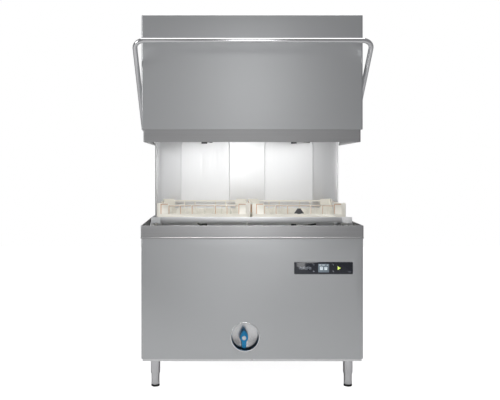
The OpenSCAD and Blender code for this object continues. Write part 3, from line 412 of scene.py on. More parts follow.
class Shape:
    """Collects the faces of one piece and turns them into an object."""

    def __init__(self) -> None:
        """Starts with no faces."""
        self.mesh = bmesh.new()

    def take(self, part: bmesh.types.BMesh, slot: int = 0) -> "Shape":
        """Adds a part's faces, with their normals turned outwards.

        Args:
            part: The part, which is used up.
            slot: Number of the finish that its faces take, or -1 to keep their own.

        Returns:
            The shape itself.
        """
        bmesh.ops.remove_doubles(part, verts=part.verts[:], dist=WELD)
        bmesh.ops.recalc_face_normals(part, faces=part.faces[:])
        data = bpy.data.meshes.new("part")
        part.to_mesh(data)
        part.free()
        before = len(self.mesh.faces)
        self.mesh.from_mesh(data)
        bpy.data.meshes.remove(data)
        self.mesh.faces.ensure_lookup_table()
        for face in self.mesh.faces[before:] if slot >= 0 else ():
            face.material_index = slot
        return self

    def block(
        self, low: Sequence[float], high: Sequence[float], edge: float = 0.6 * MM, slot: int = 0,
        steps: int = 2
    ) -> "Shape":
        """Adds a block with rounded edges between two corners, given in any order."""
        part = bmesh.new()
        bmesh.ops.create_cube(part, size=1.0)
        low, high = (Vector(pick(pair) for pair in zip(low, high)) for pick in (min, max))
        size = high - low
        for vert in part.verts:
            vert.co = Vector(c * s for c, s in zip(vert.co, size)) + (low + high) / 2
        if edge:
            reach = min(edge, min(size) * 0.45)
            bmesh.ops.bevel(
                part, geom=part.edges[:], offset=reach, segments=steps, profile=0.5, affect="EDGES"
            )
        return self.take(part, slot)

    def prism(self, outline: Sequence[Pair], start: float, end: float, axis: str = "z", edge: float = 0.0,
              slot: int = 0, steps: int = 3) -> "Shape":
        """Adds an outline pushed along an axis, with its end edges rounded.

        Args:
            outline: Points in the plane across the axis: x,y for z, x,z for y and y,z for x.
            start: Where the prism starts along the axis.
            end: Where it ends.
            axis: The axis: x, y or z.
            edge: Rounding of the edges at both ends.
            slot: Number of the finish.
            steps: Stretches in the rounding.

        Returns:
            The shape itself.
        """
        place: dict[str, Callable[[Pair, float], Point]] = {
            "z": lambda p, t: (p[0], p[1], t),
            "y": lambda p, t: (p[0], t, p[1]),
            "x": lambda p, t: (t, p[0], p[1]),
        }
        part = bmesh.new()
        rings = [[part.verts.new(place[axis](p, t)) for p in outline] for t in (start, end)]
        loft(part, rings)
        if edge:
            part.edges.ensure_lookup_table()
            ends = [e for e in part.edges if any(len(f.verts) == len(outline) for f in e.link_faces)]
            bmesh.ops.bevel(part, geom=ends, offset=edge, segments=steps, profile=0.5, affect="EDGES")
        return self.take(part, slot)

    def lathe(
        self, profile: Sequence[Pair], centre: Sequence[float], axis: str = "z", steps: int = 48,
        slot: int = 0
    ) -> "Shape":
        """Adds a turned shape.

        Args:
            profile: Radius and height along the axis, closed flat at both ends unless they meet.
            centre: The point where the height is nought.
            axis: The axis of the turning: x, y or z.
            steps: Number of faces round it.
            slot: Number of the finish.

        Returns:
            The shape itself.
        """
        turns = {"z": (0, "Z"), "y": (-math.pi / 2, "X"), "x": (math.pi / 2, "Y")}
        turn = Matrix.Rotation(turns[axis][0], 3, turns[axis][1])
        part = bmesh.new()
        rings: list[list[bmesh.types.BMVert]] = []
        for radius, height in profile:
            if radius < WELD:
                rings.append([part.verts.new(Vector(centre) + turn @ Vector((0, 0, height)))])
                continue
            ring = []
            for i in range(steps):
                a = 2 * math.pi * i / steps
                spot = Vector((radius * math.cos(a), radius * math.sin(a), height))
                ring.append(part.verts.new(Vector(centre) + turn @ spot))
            rings.append(ring)
        for first, second in zip(rings, rings[1:]):
            for i in range(steps):
                j = (i + 1) % steps
                corners = [
                    first[i % len(first)], first[j % len(first)], second[j % len(second)],
                    second[i % len(second)]
                ]
                corners = list(dict.fromkeys(corners))
                if len(corners) > 2:
                    part.faces.new(corners)
        for ring in (rings[0], rings[-1]) if profile[0] != profile[-1] else ():
            if len(ring) > 2:
                part.faces.new(ring)
        return self.take(part, slot)

    def tube(self, path: Sequence[Point], radius: float, sides: int = 24, slot: int = 0) -> "Shape":
        """Adds a round tube along a path, closed at both ends."""
        points = [Vector(p) for p in path]
        part = bmesh.new()
        rings = []
        normal = None
        for i, point in enumerate(points):
            ahead = points[min(i + 1, len(points) - 1)] - points[max(i - 1, 0)]
            ahead.normalize()
            if normal is None:
                normal = ahead.orthogonal().normalized()
            normal = (normal - ahead * normal.dot(ahead)).normalized()
            other = ahead.cross(normal)
            ring = []
            for k in range(sides):
                a = 2 * math.pi * k / sides
                ring.append(part.verts.new(point + (normal * math.cos(a) + other * math.sin(a)) * radius))
            rings.append(ring)
        loft(part, rings)
        return self.take(part, slot)

    def folded(
        self, rows: Sequence[Sequence[Point]], thick: float, cap: bool = False, slot: int = 0,
        ring: bool = False
    ) -> "Shape":
        """Adds a thin sheet that runs through rows of points.

        Args:
            rows: Rows with the same number of points each.
            thick: The sheet's thickness, laid inside the rows.
            cap: Whether the last row is closed with a flat face.
            slot: Number of the finish.
            ring: Whether each row closes on itself.

        Returns:
            The shape itself.
        """
        part = bmesh.new()
        grid = [[part.verts.new(p) for p in row] for row in rows]
        count = len(grid[0])
        for first, second in zip(grid, grid[1:]):
            for i in range(count if ring else count - 1):
                j = (i + 1) % count
                part.faces.new((first[i], first[j], second[j], second[i]))
        if cap:
            part.faces.new(grid[-1])
        bmesh.ops.recalc_face_normals(part, faces=part.faces[:])
        middle = sum((v.co for v in part.verts), Vector()) / len(part.verts)
        lean = sum((f.calc_center_median() - middle).dot(f.normal) * f.calc_area() for f in part.faces)
        if lean < 0:
            bmesh.ops.reverse_faces(part, faces=part.faces[:])
        bmesh.ops.solidify(part, geom=part.faces[:], thickness=thick)
        return self.take(part, slot)

    def object(self, name: str, finishes: Iterable[str], angle: float = SMOOTH) -> bpy.types.Object:
        """Makes the object, smooth where its faces meet at less than an angle."""
        data = bpy.data.meshes.new(name)
        self.mesh.to_mesh(data)
        self.mesh.free()
        data.polygons.foreach_set("use_smooth", [True] * len(data.polygons))
        data.set_sharp_from_angle(angle=math.radians(angle))
        for finish in finishes:
            data.materials.append(PALETTE.material(finish))
        piece = bpy.data.objects.new(name, data)
        bpy.context.scene.collection.objects.link(piece)
        return piece


def settle(piece: bpy.types.Object) -> bpy.types.Object:
    """Turns a piece and its modifiers into one plain mesh."""
    graph = bpy.context.evaluated_depsgraph_get()
    data = bpy.data.meshes.new_from_object(piece.evaluated_get(graph))
    old = piece.data
    piece.modifiers.clear()
    piece.data = data
    bpy.data.meshes.remove(old)
    data.set_sharp_from_angle(angle=math.radians(SMOOTH))
    return piece


def carve(piece: bpy.types.Object, cutter: Shape) -> bpy.types.Object:
    """Cuts a piece with a shape and keeps the result as a plain mesh."""
    tool = cutter.object("cutter", ())
    cut = piece.modifiers.new("cut", "BOOLEAN")
    cut.object = tool
    cut.solver = "EXACT"
    settle(piece)
    bpy.data.objects.remove(tool)
    return piece


def drill(radius: float, centre: Sequence[float], steps: int = 40, reach: float = 100 * MM) -> Shape:
    """A round cutter that reaches as far in front of its centre as behind it.

    Args:
        radius: The hole's radius.
        centre: The cutter's middle.
        steps: Number of faces round it.
        reach: How far it reaches each way along y.

    Returns:
        The cutter.
    """
    return Shape().lathe([(0, -reach), (radius, -reach), (radius, reach), (0, reach)], centre, "y", steps)


def soften(piece: bpy.types.Object, width: float, steps: int = 2) -> bpy.types.Object:
    """Rounds the sharp edges of a piece by a width in metres."""
    bevel = piece.modifiers.new("edges", "BEVEL")
    bevel.width = width
    bevel.segments = steps
    bevel.limit_method = "ANGLE"
    bevel.angle_limit = math.radians(SMOOTH)
    return settle(piece)


def softened_node(node: str, finish: str, width: float = 0.5 * MM) -> bpy.types.Object:
    """Copies a node of the frame with its edges rounded.

    Args:
        node: Name of the node.
        finish: Name of the finish.
        width: Rounding of its edges.

    Returns:
        The new piece, not yet riding on a body.
    """
    part = bmesh.new()
    part.from_mesh(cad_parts[node].data)
    bmesh.ops.remove_doubles(part, verts=part.verts[:], dist=1e-5)
    bmesh.ops.dissolve_limit(part, angle_limit=math.radians(1.5), verts=part.verts[:], edges=part.edges[:])
    for face in part.faces:
        face.material_index = 0
    piece = Shape().take(part).object(node + "_rounded", [finish])
    return soften(piece, width)


def merge(name: str, pieces: Sequence[bpy.types.Object]) -> bpy.types.Object:
    """Joins pieces into one object that keeps each piece's finish."""
    with bpy.context.temp_override(active_object=pieces[0], selected_editable_objects=list(pieces)):
        bpy.ops.object.join()
    pieces[0].name = pieces[0].data.name = name
    return pieces[0]


def dress(piece: bpy.types.Object, body: str, *nodes: str) -> bpy.types.Object:
    """Makes a piece ride on a body and stand for nodes of the frame."""
    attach(piece, body)
    if nodes:
        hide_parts(*nodes)
    log.info("%s rides on %s: %d faces", piece.name, body, len(piece.data.polygons))
    return piece


def dress_softened(body: str, *rows: tuple[str, str, float]) -> None:
    """Rounds nodes of the frame and lets them ride on a body.

    Args:
        body: Name of the body.
        rows: Each node's name, its finish and the rounding of its edges in millimetres.
    """
    for node, finish, width in rows:
        dress(softened_node(node, finish, width * MM), body, node)


class Facing(Enum):
    """Turns that bring the local +Z of a grid of items to face one way."""

    UP = (0.0, 0.0, 0.0)
    FRONT = (math.pi / 2, 0.0, 0.0)
    BACK = (math.pi / 2, 0.0, math.pi)
    RIGHT = (math.pi / 2, 0.0, math.pi / 2)
    LEFT = (math.pi / 2, 0.0, -math.pi / 2)


class ItemGrid:
    """Geometry nodes that repeat one item in columns and rows on a plane."""

    def __init__(self) -> None:
        """Builds the node group with its named inputs."""
        self.group = bpy.data.node_groups.new("item_grid", "GeometryNodeTree")
        sockets = (
            ("Item", "Object", None), ("Finish", "Material", None), ("Columns", "Int", 2),
            ("Rows", "Int", 2),
            ("Column Pitch", "Float", 0.1), ("Row Pitch", "Float", 0.1), ("Place", "Vector", None),
            ("Turn", "Vector", None), ("Wobble", "Float", 0.0), ("Seed", "Int", 1),
        )
        self.names: dict[str, str] = {}
        for name, kind, value in sockets:
            socket = self.group.interface.new_socket(name, in_out="INPUT", socket_type=f"NodeSocket{kind}")
            self.names[name] = socket.identifier
            if value is not None:
                socket.default_value = value
        self.group.interface.new_socket("Geometry", in_out="OUTPUT", socket_type="NodeSocketGeometry")
        self._wire()

    def _node(self, kind: str, **links: object) -> bpy.types.Node:
        """Adds a node and links its inputs, given as i0, i1 and so on."""
        node = self.group.nodes.new(kind)
        for key, value in links.items():
            slot = node.inputs[int(key[1:])]
            if isinstance(value, bpy.types.NodeSocket):
                self.group.links.new(value, slot)
            else:
                slot.default_value = value
        return node

    def _math(self, operation: str, first: object, second: object = 0.0) -> bpy.types.NodeSocket:
        """Adds one sum and returns its result."""
        node = self._node("ShaderNodeMath", i0=first, i1=second)
        node.operation = operation
        return node.outputs[0]

    def _wire(self) -> None:
        """Links points, instances, placing and finish."""
        given = self._node("NodeGroupInput").outputs
        index = self._node("GeometryNodeInputIndex").outputs[0]
        columns, rows = given["Columns"], given["Rows"]
        row = self._math("FLOOR", self._math("DIVIDE", self._math("ADD", index, 0.01), columns))
        column = self._math("SUBTRACT", index, self._math("MULTIPLY", row, columns))
        places = []
        for number, count, pitch in (
            (column, columns, given["Column Pitch"]), (row, rows, given["Row Pitch"])
        ):
            middle = self._math("MULTIPLY", self._math("SUBTRACT", count, 1.0), 0.5)
            places.append(self._math("MULTIPLY", self._math("SUBTRACT", number, middle), pitch))
        spot = self._node("ShaderNodeCombineXYZ", i0=places[0], i1=places[1])
        points = self._node(
            "GeometryNodePoints", i0=self._math("MULTIPLY", columns, rows), i1=spot.outputs[0]
        )
        item = self._node("GeometryNodeObjectInfo", i0=given["Item"])
        spin = self._node("FunctionNodeRandomValue")
        spin.data_type = "FLOAT"
        floats = [s for s in spin.inputs if s.type == "VALUE" and s.enabled]
        self.group.links.new(self._math("MULTIPLY", given["Wobble"], -1.0), floats[0])
        self.group.links.new(given["Wobble"], floats[1])
        self.group.links.new(given["Seed"], next(s for s in spin.inputs if s.name == "Seed"))
        turned = self._node("ShaderNodeCombineXYZ", i2=next(s for s in spin.outputs if s.enabled))
        spread = self._node("GeometryNodeInstanceOnPoints", i0=points.outputs[0])
        self.group.links.new(item.outputs["Geometry"], spread.inputs["Instance"])
        self.group.links.new(turned.outputs[0], spread.inputs["Rotation"])
        real = self._node("GeometryNodeRealizeInstances", i0=spread.outputs[0])
        placed = self._node("GeometryNodeTransform", i0=real.outputs[0])
        self.group.links.new(given["Place"], placed.inputs["Translation"])
        self.group.links.new(given["Turn"], placed.inputs["Rotation"])
        dressed = self._node("GeometryNodeSetMaterial", i0=placed.outputs[0])
        self.group.links.new(given["Finish"], dressed.inputs["Material"])
        self._node("NodeGroupOutput", i0=dressed.outputs[0])

    def lay(
        self, name: str, item: bpy.types.Object, finish: str, count: tuple[int, int], pitch: Pair,
        place: Sequence[float], turn: Facing, wobble: float = 0.0, seed: int = 1,
    ) -> bpy.types.Object:
        """Lays one grid of items and keeps it as a plain mesh.

        Args:
            name: Name of the new piece.
            item: The shape that is repeated, which stays for other grids.
            finish: Name of the finish.
            count: Number of columns and rows.
            pitch: Distance between columns and between rows.
            place: The grid's middle.
            turn: Which way the items face.
            wobble: Largest random turn of each item about its own axis.
            seed: Seed of the random turns.

        Returns:
            The new piece.
        """
        piece = bpy.data.objects.new(name, bpy.data.meshes.new(name))
        bpy.context.scene.collection.objects.link(piece)
        grid = piece.modifiers.new("grid", "NODES")
        grid.node_group = self.group
        values = {
            "Item": item, "Finish": PALETTE.material(finish), "Columns": count[0], "Rows": count[1],
            "Column Pitch": pitch[0], "Row Pitch": pitch[1], "Place": tuple(place), "Turn": turn.value,
            "Wobble": wobble, "Seed": seed,
        }
        for key, value in values.items():
            grid[self.names[key]] = value
        return settle(piece)


GRID = ItemGrid()


def drop(*items: bpy.types.Object) -> None:
    """Removes shapes that were only made to be repeated."""
    for item in items:
        bpy.data.objects.remove(item)


@dataclass(frozen=True)
class Datum:
    """Faces and levels of the machine that its pieces are placed by, in metres."""

    front: float
    half: float
    panel_low: float
    panel_top: float
    rim_top: float

    @classmethod
    def read(cls) -> "Datum":
        """Reads the faces and levels from the frame."""
        panel, rim = Box.of("front_panel"), Box.of("tank_rim")
        return cls(panel.low.y, panel.high.x, panel.low.z, panel.high.z, rim.high.z)


DATUM = Datum.read()
RECESS_MOUTH = 72 * MM
KEYS = ("start_key", "menu_key_1", "menu_key_2", "menu_key_3", "menu_key_4")


def wrapped(
    half: float, front: float, back: float, radius: float, profile: Sequence[Pair],
    thick: float = SHEET, closed: bool = False, cap: bool = False,
) -> Shape:
    """A sheet wrapped round the front and sides, with its edges folded by a profile.

    Args:
        half: Half the width outside.
        front: The y of the front face.
        back: The y of the back end.
        radius: Radius of the upright corners.
        profile: Inset and height of each row, from one edge to the other.
        thick: The sheet's thickness.
        closed: Whether the back is wrapped too.
        cap: Whether the last row is closed flat.

    Returns:
        The shape.
    """
    rows = [
        [(x, y, z) for x, y in plan_path(half, front, back, radius, inset, closed)] for inset, z in profile
    ]
    return Shape().folded(rows, thick, cap, ring=closed)


def fold(inset: float, level: float, radius: float, up: int) -> list[Pair]:
    """Profile points of a rounded fold between a wall and a level edge.

    Args:
        inset: Inset of the wall.
        level: Height of the edge.
        radius: Radius of the fold.
        up: 1 if the wall is above the edge, -1 if it is below.

    Returns:
        Points from the level edge to the wall.
    """
    steps = [math.radians(a) for a in (0, 30, 60, 90)]
    return [(inset + radius * (1 - math.sin(a)), level + up * radius * (1 - math.cos(a))) for a in steps]


# ---------------------------------------------------------------- the hood
@dataclass
class Hood:
    """The raised hood: brushed shell, liner with its band, and the lift handle."""

    edge: float = 3 * MM
    hem: float = 5 * MM
    band_inset: float = 9 * MM
    corner: float = 9 * MM
    flange: float = 26 * MM
    tube: float = 12.5 * MM
    bend: float = 50 * MM
    boss: float = 16 * MM

    def shell(self) -> bpy.types.Object:
        """The outer shell, folded in at its foot and over its top."""
        box = Box.of("hood_shell")
        low, top = box.low.z, box.high.z
        profile = [(self.band_inset, low), *fold(0, low, 2 * MM, 1), *reversed(fold(0, top, self.edge, -1))]
        shape = wrapped(box.high.x, box.low.y, box.high.y, self.corner, profile, cap=True)
        for side in (-1, 1):
            outer, inner = side * (box.high.x - SHEET), side * (box.high.x - self.flange)
            shape.block(
                (outer, box.high.y - SHEET, low + SHEET), (inner, box.high.y, top - SHEET), 0.4 * MM
            )
        return shape.object("hood_shell_sheet", ["hood"])

    def liner(self) -> bpy.types.Object:
        """The liner, whose hemmed band shows below the shell."""
        box = Box.of("hood_liner")
        low, top = box.low.z, box.high.z
        turned = (self.hem - 0.6 * MM, low + 0.4 * MM)
        inner = [(self.hem, low + 14 * MM), (self.hem, low + 2 * MM), turned, (self.hem - 2 * MM, low)]
        profile = [*inner, *fold(0, low, 2 * MM, 1), *reversed(fold(0, top, 2 * MM, -1))]
        return wrapped(
            box.high.x, box.low.y, box.high.y, self.corner, profile, cap=True
        ).object("hood_liner_sheet", ["band"])

    def handle(self) -> bpy.types.Object:
        """The bent tube with its two bosses and domed bolts."""
        box = Box.of("handle")
        arm = box.high.x - self.tube
        fix = Vector((arm, DATUM.front + 350 * MM, Box.of("hood_shell").low.z + 22 * MM))
        bar = Vector((0, box.low.y + self.tube, box.high.z - self.tube))
        run = fix - bar
        length = math.hypot(run.y, run.z)
        along = Vector((0, run.y / length, run.z / length))
        flat = [(arm, length)]
        flat += [(arm, length * k) for k in (0.75, 0.5, 0.25)]
        flat += [(arm - self.bend + x, self.bend - y) for x, y in arc((0, 0), self.bend, 0, 90, 12)]
        flat += [(arm * k, 0) for k in (0.6, 0.3, 0.0)]
        flat += [(-x, y) for x, y in reversed(flat[:-1])]
        shape = Shape().tube([Vector((x, 0, 0)) + bar + along * y for x, y in flat], self.tube, 40)
        wall, face = Box.of("hood_shell").high.x, box.high.x - 7 * MM
        for side in (-1, 1):
            deep = face - wall
            boss = [
                (0, 0), (self.boss, 0), (self.boss, deep - 2 * MM), (self.boss - 2 * MM, deep), (0, deep)
            ]
            bolt = mm((9, -1), (9, 2.5), (7.5, 4.8), (4.2, 5.6), (4, 3), (0, 3))
            for profile, start in ((boss, wall), (bolt, face)):
                turned = [(r, side * h) for r, h in profile]
                shape.lathe(turned, (side * start, fix.y, fix.z), "x", 40)
        return shape.object("lift_handle", ["polished"])

    def build(self) -> None:
        """Builds the hood's pieces and lets them ride on it."""
        dress(self.shell(), "hood", "hood_shell")
        dress(self.liner(), "hood", "hood_liner")
        dress(self.handle(), "hood", "handle")
        rows = (("hood_carriage", "post", 1.2), ("slide_blocks", "glide", 1.2), ("gas_rods", "polished", 1.2))
        dress_softened("hood", *rows)


# ---------------------------------------------------------------- the cabinet
@dataclass
class Cabinet:
    """Front, side and rear sheets, the collar, the base tray and their screws."""

    corner: float = 9 * MM
    return_depth: float = 30 * MM
    fold_in: float = 12 * MM
    bead: float = 1.4 * MM
    wobble: float = 3.1
    tank_half: float = 548.5 * MM
    hem: float = 4 * MM

    def front(self) -> bpy.types.Object:
        """The front sheet with its openings for the recess and the controls."""
        low, top = DATUM.panel_low, DATUM.panel_top
        profile = [
            (self.fold_in, low), *fold(0, low, 2 * MM, 1), *reversed(fold(0, top, 2 * MM, -1)),
            (self.fold_in, top)
        ]
        panel = wrapped(DATUM.half, DATUM.front, DATUM.front + self.return_depth, self.corner, profile)
        piece = panel.object("front_sheet", ["cabinet"])
        cup, fascia = Box.of("drain_cup"), Box.of("control_box")
        hole = drill(RECESS_MOUTH, (cup.centre.x, DATUM.front, cup.centre.z), 96, 20 * MM)
        gap = Vector((MM, 0.02, MM))
        low_corner, high_corner = fascia.low - gap, fascia.high + gap
        high_corner.y = DATUM.front + 0.02
        return carve(piece, hole.block(low_corner, high_corner, 0))

    def sides(self) -> bpy.types.Object:
        """Both side sheets with their hemmed edges."""
        shape = Shape()
        box = Box.of("right_panel")
        for side in (-1, 1):
            outer, inner, lip = (
                side * x for x in (box.high.x, box.high.x - SHEET, box.high.x - self.fold_in)
            )
            shape.block((outer, box.low.y + 0.4 * MM, box.low.z), (inner, box.high.y, box.high.z), 0.6 * MM)
            for z in (box.low.z, box.high.z - SHEET):
                shape.block((inner, box.low.y + 2 * MM, z), (lip, box.high.y - 2 * MM, z + SHEET), 0.4 * MM)
            shape.block((inner, box.high.y - SHEET, box.low.z), (lip, box.high.y, box.high.z), 0.4 * MM)
        return shape.object("side_sheets", ["cabinet"])

    def collar(self) -> bpy.types.Object:
        """The collar with its rolled upper edge, foot bead and gutter floor."""
        box = Box.of("tank_rim")
        low, top, hem = box.low.z, box.high.z, self.hem
        profile = [(10 * MM, low + 0.2 * MM), (0, low + 0.2 * MM)]
        for a in (math.radians(degrees) for degrees in range(30, 180, 30)):
            profile.append((-self.bead * math.sin(a), low + 4 * MM - 3.6 * MM * math.cos(a)))
        profile += [(0, low + 8 * MM), *reversed(fold(0, top, hem / 2, -1)), *(
            (hem - inset, z) for inset, z in fold(0, top, hem / 2, -1)), (hem, top - 9 * MM)]
        shape = wrapped(box.high.x, box.low.y, box.high.y, self.corner, profile, 1.2 * MM)
        inside = box.high.x - 2 * MM
        hole = Box.of("rack_track")
        ahead, behind = DATUM.front + 31.5 * MM, hole.high.y - 24.5 * MM
        strips = (
            ((-inside, box.low.y + 2 * MM), (inside, ahead)), ((-inside, behind), (inside, box.high.y)),
            ((-inside, ahead), (-self.tank_half, behind)), ((self.tank_half, ahead), (inside, behind)),
        )
        for first, second in strips:
            shape.block((*first, low + 0.1 * MM), (*second, low + SHEET), 0.2 * MM)
        shape.block((-inside, box.high.y - SHEET, low + SHEET), (inside, box.high.y, top), 0.5 * MM)
        return shape.object("collar_sheet", ["collar"])

    def tray(self) -> bpy.types.Object:
        """The folded base tray."""
        box = Box.of("base_tray")
        profile = [(0, box.high.z), *reversed(fold(0, box.low.z, 1.5 * MM, 1))]
        return wrapped(
            box.high.x, box.low.y, box.high.y, 2 * MM, profile, closed=True, cap=True
        ).object("base_tray_sheet", ["tray"])

    def rear(self) -> bpy.types.Object:
        """The rear sheet and deck with cooling louvres."""
        sheet = softened_node("rear_panel", "cabinet", 0.4 * MM)
        box = Box.of("rear_panel")
        hood = Shape()
        hood.prism(mm((-2, 0), (2.6, 0), (2.4, 1), (-2, 4.5)), -38 * MM, 38 * MM, "x", 0.4 * MM)
        item = hood.object("louvre", ["cabinet"])
        grids = [
            GRID.lay(
                f"louvres_{side}", item, "cabinet", (2, 9), (100 * MM, 16 * MM),
                (side * 0.33, box.high.y, 0.60), Facing.BACK
            )
            for side in (-1, 1)
        ]
        drop(item)
        return merge("rear_sheet", [sheet, *grids])

    def screws(self) -> bpy.types.Object:
        """Pan-head screws with a round dimple in the head, on the sides, back and tray."""
        head = mm((0, 0), (4.5, 0), (4.4, 0.7), (3.4, 1.45), (1.6, 1.8), (1.2, 1), (0, 0.9))
        item = Shape().lathe(head, (0, 0, 0), "z", 20).object("screw", ["polished"])
        edge = 18 * MM
        low, top = DATUM.panel_low + edge, DATUM.panel_top - edge
        middle, rise = (low + top) / 2, top - low
        depth = (DATUM.front + self.return_depth + edge, DATUM.front + 714 * MM)
        tray = Box.of("base_tray")
        along, wide = (3, 2), ((depth[1] - depth[0]) / 2, rise)
        back = Box.of("rear_panel").high.y
        rows = (
            ("screws_right", along, wide, (DATUM.half, sum(depth) / 2, middle), Facing.RIGHT, 3),
            ("screws_left", along, wide, (-DATUM.half, sum(depth) / 2, middle), Facing.LEFT, 5),
            ("screws_back", along, (DATUM.half - edge, rise), (0, back, middle), Facing.BACK, 7),
            ("screw_tray", (1, 1), (0, 0), (0, tray.low.y, tray.centre.z), Facing.FRONT, 9),
        )
        grids = [
            GRID.lay(name, item, "polished", count, pitch, place, facing, self.wobble, seed)
            for name, count, pitch, place, facing, seed in rows
        ]
        drop(item)
        return merge("sheet_screws", grids)

    def build(self) -> None:
        """Builds the cabinet's pieces on the machine's body."""
        dress(self.front(), "machine", "front_panel")
        dress(self.sides(), "machine", "left_panel", "right_panel")
        dress(self.collar(), "machine", "tank_rim")
        dress(self.tray(), "machine", "base_tray")
        dress(self.rear(), "machine", "rear_panel")
        dress(self.screws(), "machine", "panel_screws")


# ---------------------------------------------------------------- racks and wash chamber
@dataclass
class DishRack:
    """One moulded rack: windowed walls, raised corners, ribbed floor and pegs."""

    side: str
    clip: bool
    pitch: float = 62 * MM
    rib: float = 8 * MM
    wall: float = 4 * MM
    window_low: float = 42.5 * MM
    window_high: float = 83 * MM
    rim: float = 92 * MM
    corner: float = 62 * MM
    draft: float = 4.4 * MM

    def _opening(
        self, left: float, right: float, low: float, high: float, depth: float
    ) -> bmesh.types.BMesh:
        """A window's cutter, wider at the front, whose upper and left faces take the painted-shade finish:
        brown standing in for the shade on reveals that face down and to the right.
        """
        part = bmesh.new()
        rings = []
        for grow, at in (
            (self.draft, -0.5 * MM), (self.draft, 0.0), (0.0, self.wall + 1 * MM), (0.0, depth)
        ):
            rings.append([part.verts.new((x, at, z)) for x, z in (
                (left - grow, low), (right, low), (right, high + grow), (left - grow, high + grow))])
        loft(part, rings, (0, 0, 1, 1))
        return part

    def _windows(self, half: float) -> Shape:
        """Cutters for the windows of all four walls and the blind corner cells."""
        shape = Shape()
        cells = [
            (-self.pitch + self.rib / 2, self.pitch - self.rib / 2, self.window_high, self.wall + 12 * MM)
        ]
        for way in (-1, 1):
            for step in (1.5, 2.5):
                middle, reach = way * self.pitch * step, (self.pitch - self.rib) / 2
                cells.append((middle - reach, middle + reach, self.window_high, self.wall + 12 * MM))
            near, far = half - self.corner + 3 * MM, half - 25 * MM
            cells.append(
                (
                    min(way * near, way * far), max(way * near, way * far), self.window_high + 9 * MM,
                    0.6 * self.wall
                )
            )
        for turn in range(4):
            spin = Matrix.Rotation(math.pi / 2 * turn, 4, "Z")
            for left, right, high, depth in cells:
                blind = depth < self.wall
                part = self._opening(left, right, self.window_low, high, depth)
                if blind:
                    for vert in part.verts:
                        vert.co.y = min(vert.co.y, depth)
                    bmesh.ops.remove_doubles(part, verts=part.verts[:], dist=WELD)
                bmesh.ops.translate(part, verts=part.verts[:], vec=(0, -half, 0))
                bmesh.ops.transform(part, verts=part.verts[:], matrix=spin)
                shape.take(part, -1)
        return shape

    def build(self) -> None:
        """Builds the rack on its own body."""
        node = f"rack_{self.side}"
        box = Box.of(node)
        half = box.size.x / 2
        shape = Shape()
        outline = rounded_rectangle((half, half), [6 * MM] * 4)
        inside = rounded_rectangle((half - self.wall, half - self.wall), [3 * MM] * 4)
        top = box.size.z
        # Slot 1 of the wall is painted shade, brown on the upper and left window reveals.
        wall = Shape().prism(
            outline, 0, top, edge=0.8 * MM, steps=2
        ).object("rack_wall", ["cream", "rack_shade"])
        carve(wall, Shape().prism(inside, -0.01, top + 0.01))
        lower = Shape()
        long_half = half - self.corner
        for size in ((long_half, half + 0.01), (half + 0.01, long_half)):
            lower.prism(rounded_rectangle(size, [MM] * 4, steps=1), self.rim, top + 0.01)
        carve(wall, lower)
        carve(wall, self._windows(half))
        soften(wall, 0.5 * MM, 1)
        for turn in range(4):
            spin = Matrix.Rotation(math.pi / 2 * turn, 3, "Z")
            for z, deep in ((8 * MM, 5 * MM), (self.window_low - 7 * MM, 3.2 * MM)):
                low = Vector((9 * MM - half, self.wall - half - 0.5 * MM, z))
                high = Vector((half - 9 * MM, self.wall - half + deep, z + 2.5 * MM))
                shape.block(spin @ low, spin @ high, 0.5 * MM, steps=1)
        for k in range(-9, 10):
            deep = 7 * MM if k % 2 == 0 else 4 * MM
            reach = half - self.wall + 0.2 * MM
            at = k * 25.2 * MM
            shape.block(
                (at - 1.3 * MM, -reach, 1.5 * MM), (at + 1.3 * MM, reach, 1.5 * MM + deep), 0.4 * MM,
                steps=1
            )
            shape.block((-reach, at - 1.3 * MM, 0), (reach, at + 1.3 * MM, deep), 0.4 * MM, steps=1)
        ribs = shape.object("rack_ribs", ["cream"])
        peg = Shape().lathe(mm((3.4, 0), (2.6, 10), (1.9, 50), (1.2, 53), (0, 54)), (0, 0, 0), "z", 8)
        item = peg.object("peg", ["cream"])
        pegs = GRID.lay(
            "rack_pegs", item, "cream", (9, 9), (50.4 * MM, 50.4 * MM), (0, 0, 4 * MM), Facing.UP
        )
        drop(item)
        parts = [wall, ribs, pegs]
        if self.clip:
            sign = Shape().prism(
                mm((-27, 45), (27, 45), (8, 72), (-8, 72)), -half - 0.6 * MM, -half + 4.5 * MM, "y",
                0.8 * MM
            )
            sign.block((-9 * MM, -half + 1 * MM, 38 * MM), (9 * MM, -half + 6 * MM, 50 * MM), 0.6 * MM)
            parts.append(sign.object("rack_clip", ["clip"]))
        piece = merge(f"{node}_moulding", parts)
        piece.data.transform(Matrix.Translation((box.centre.x, box.centre.y, box.low.z)))
        dress(piece, node, node)


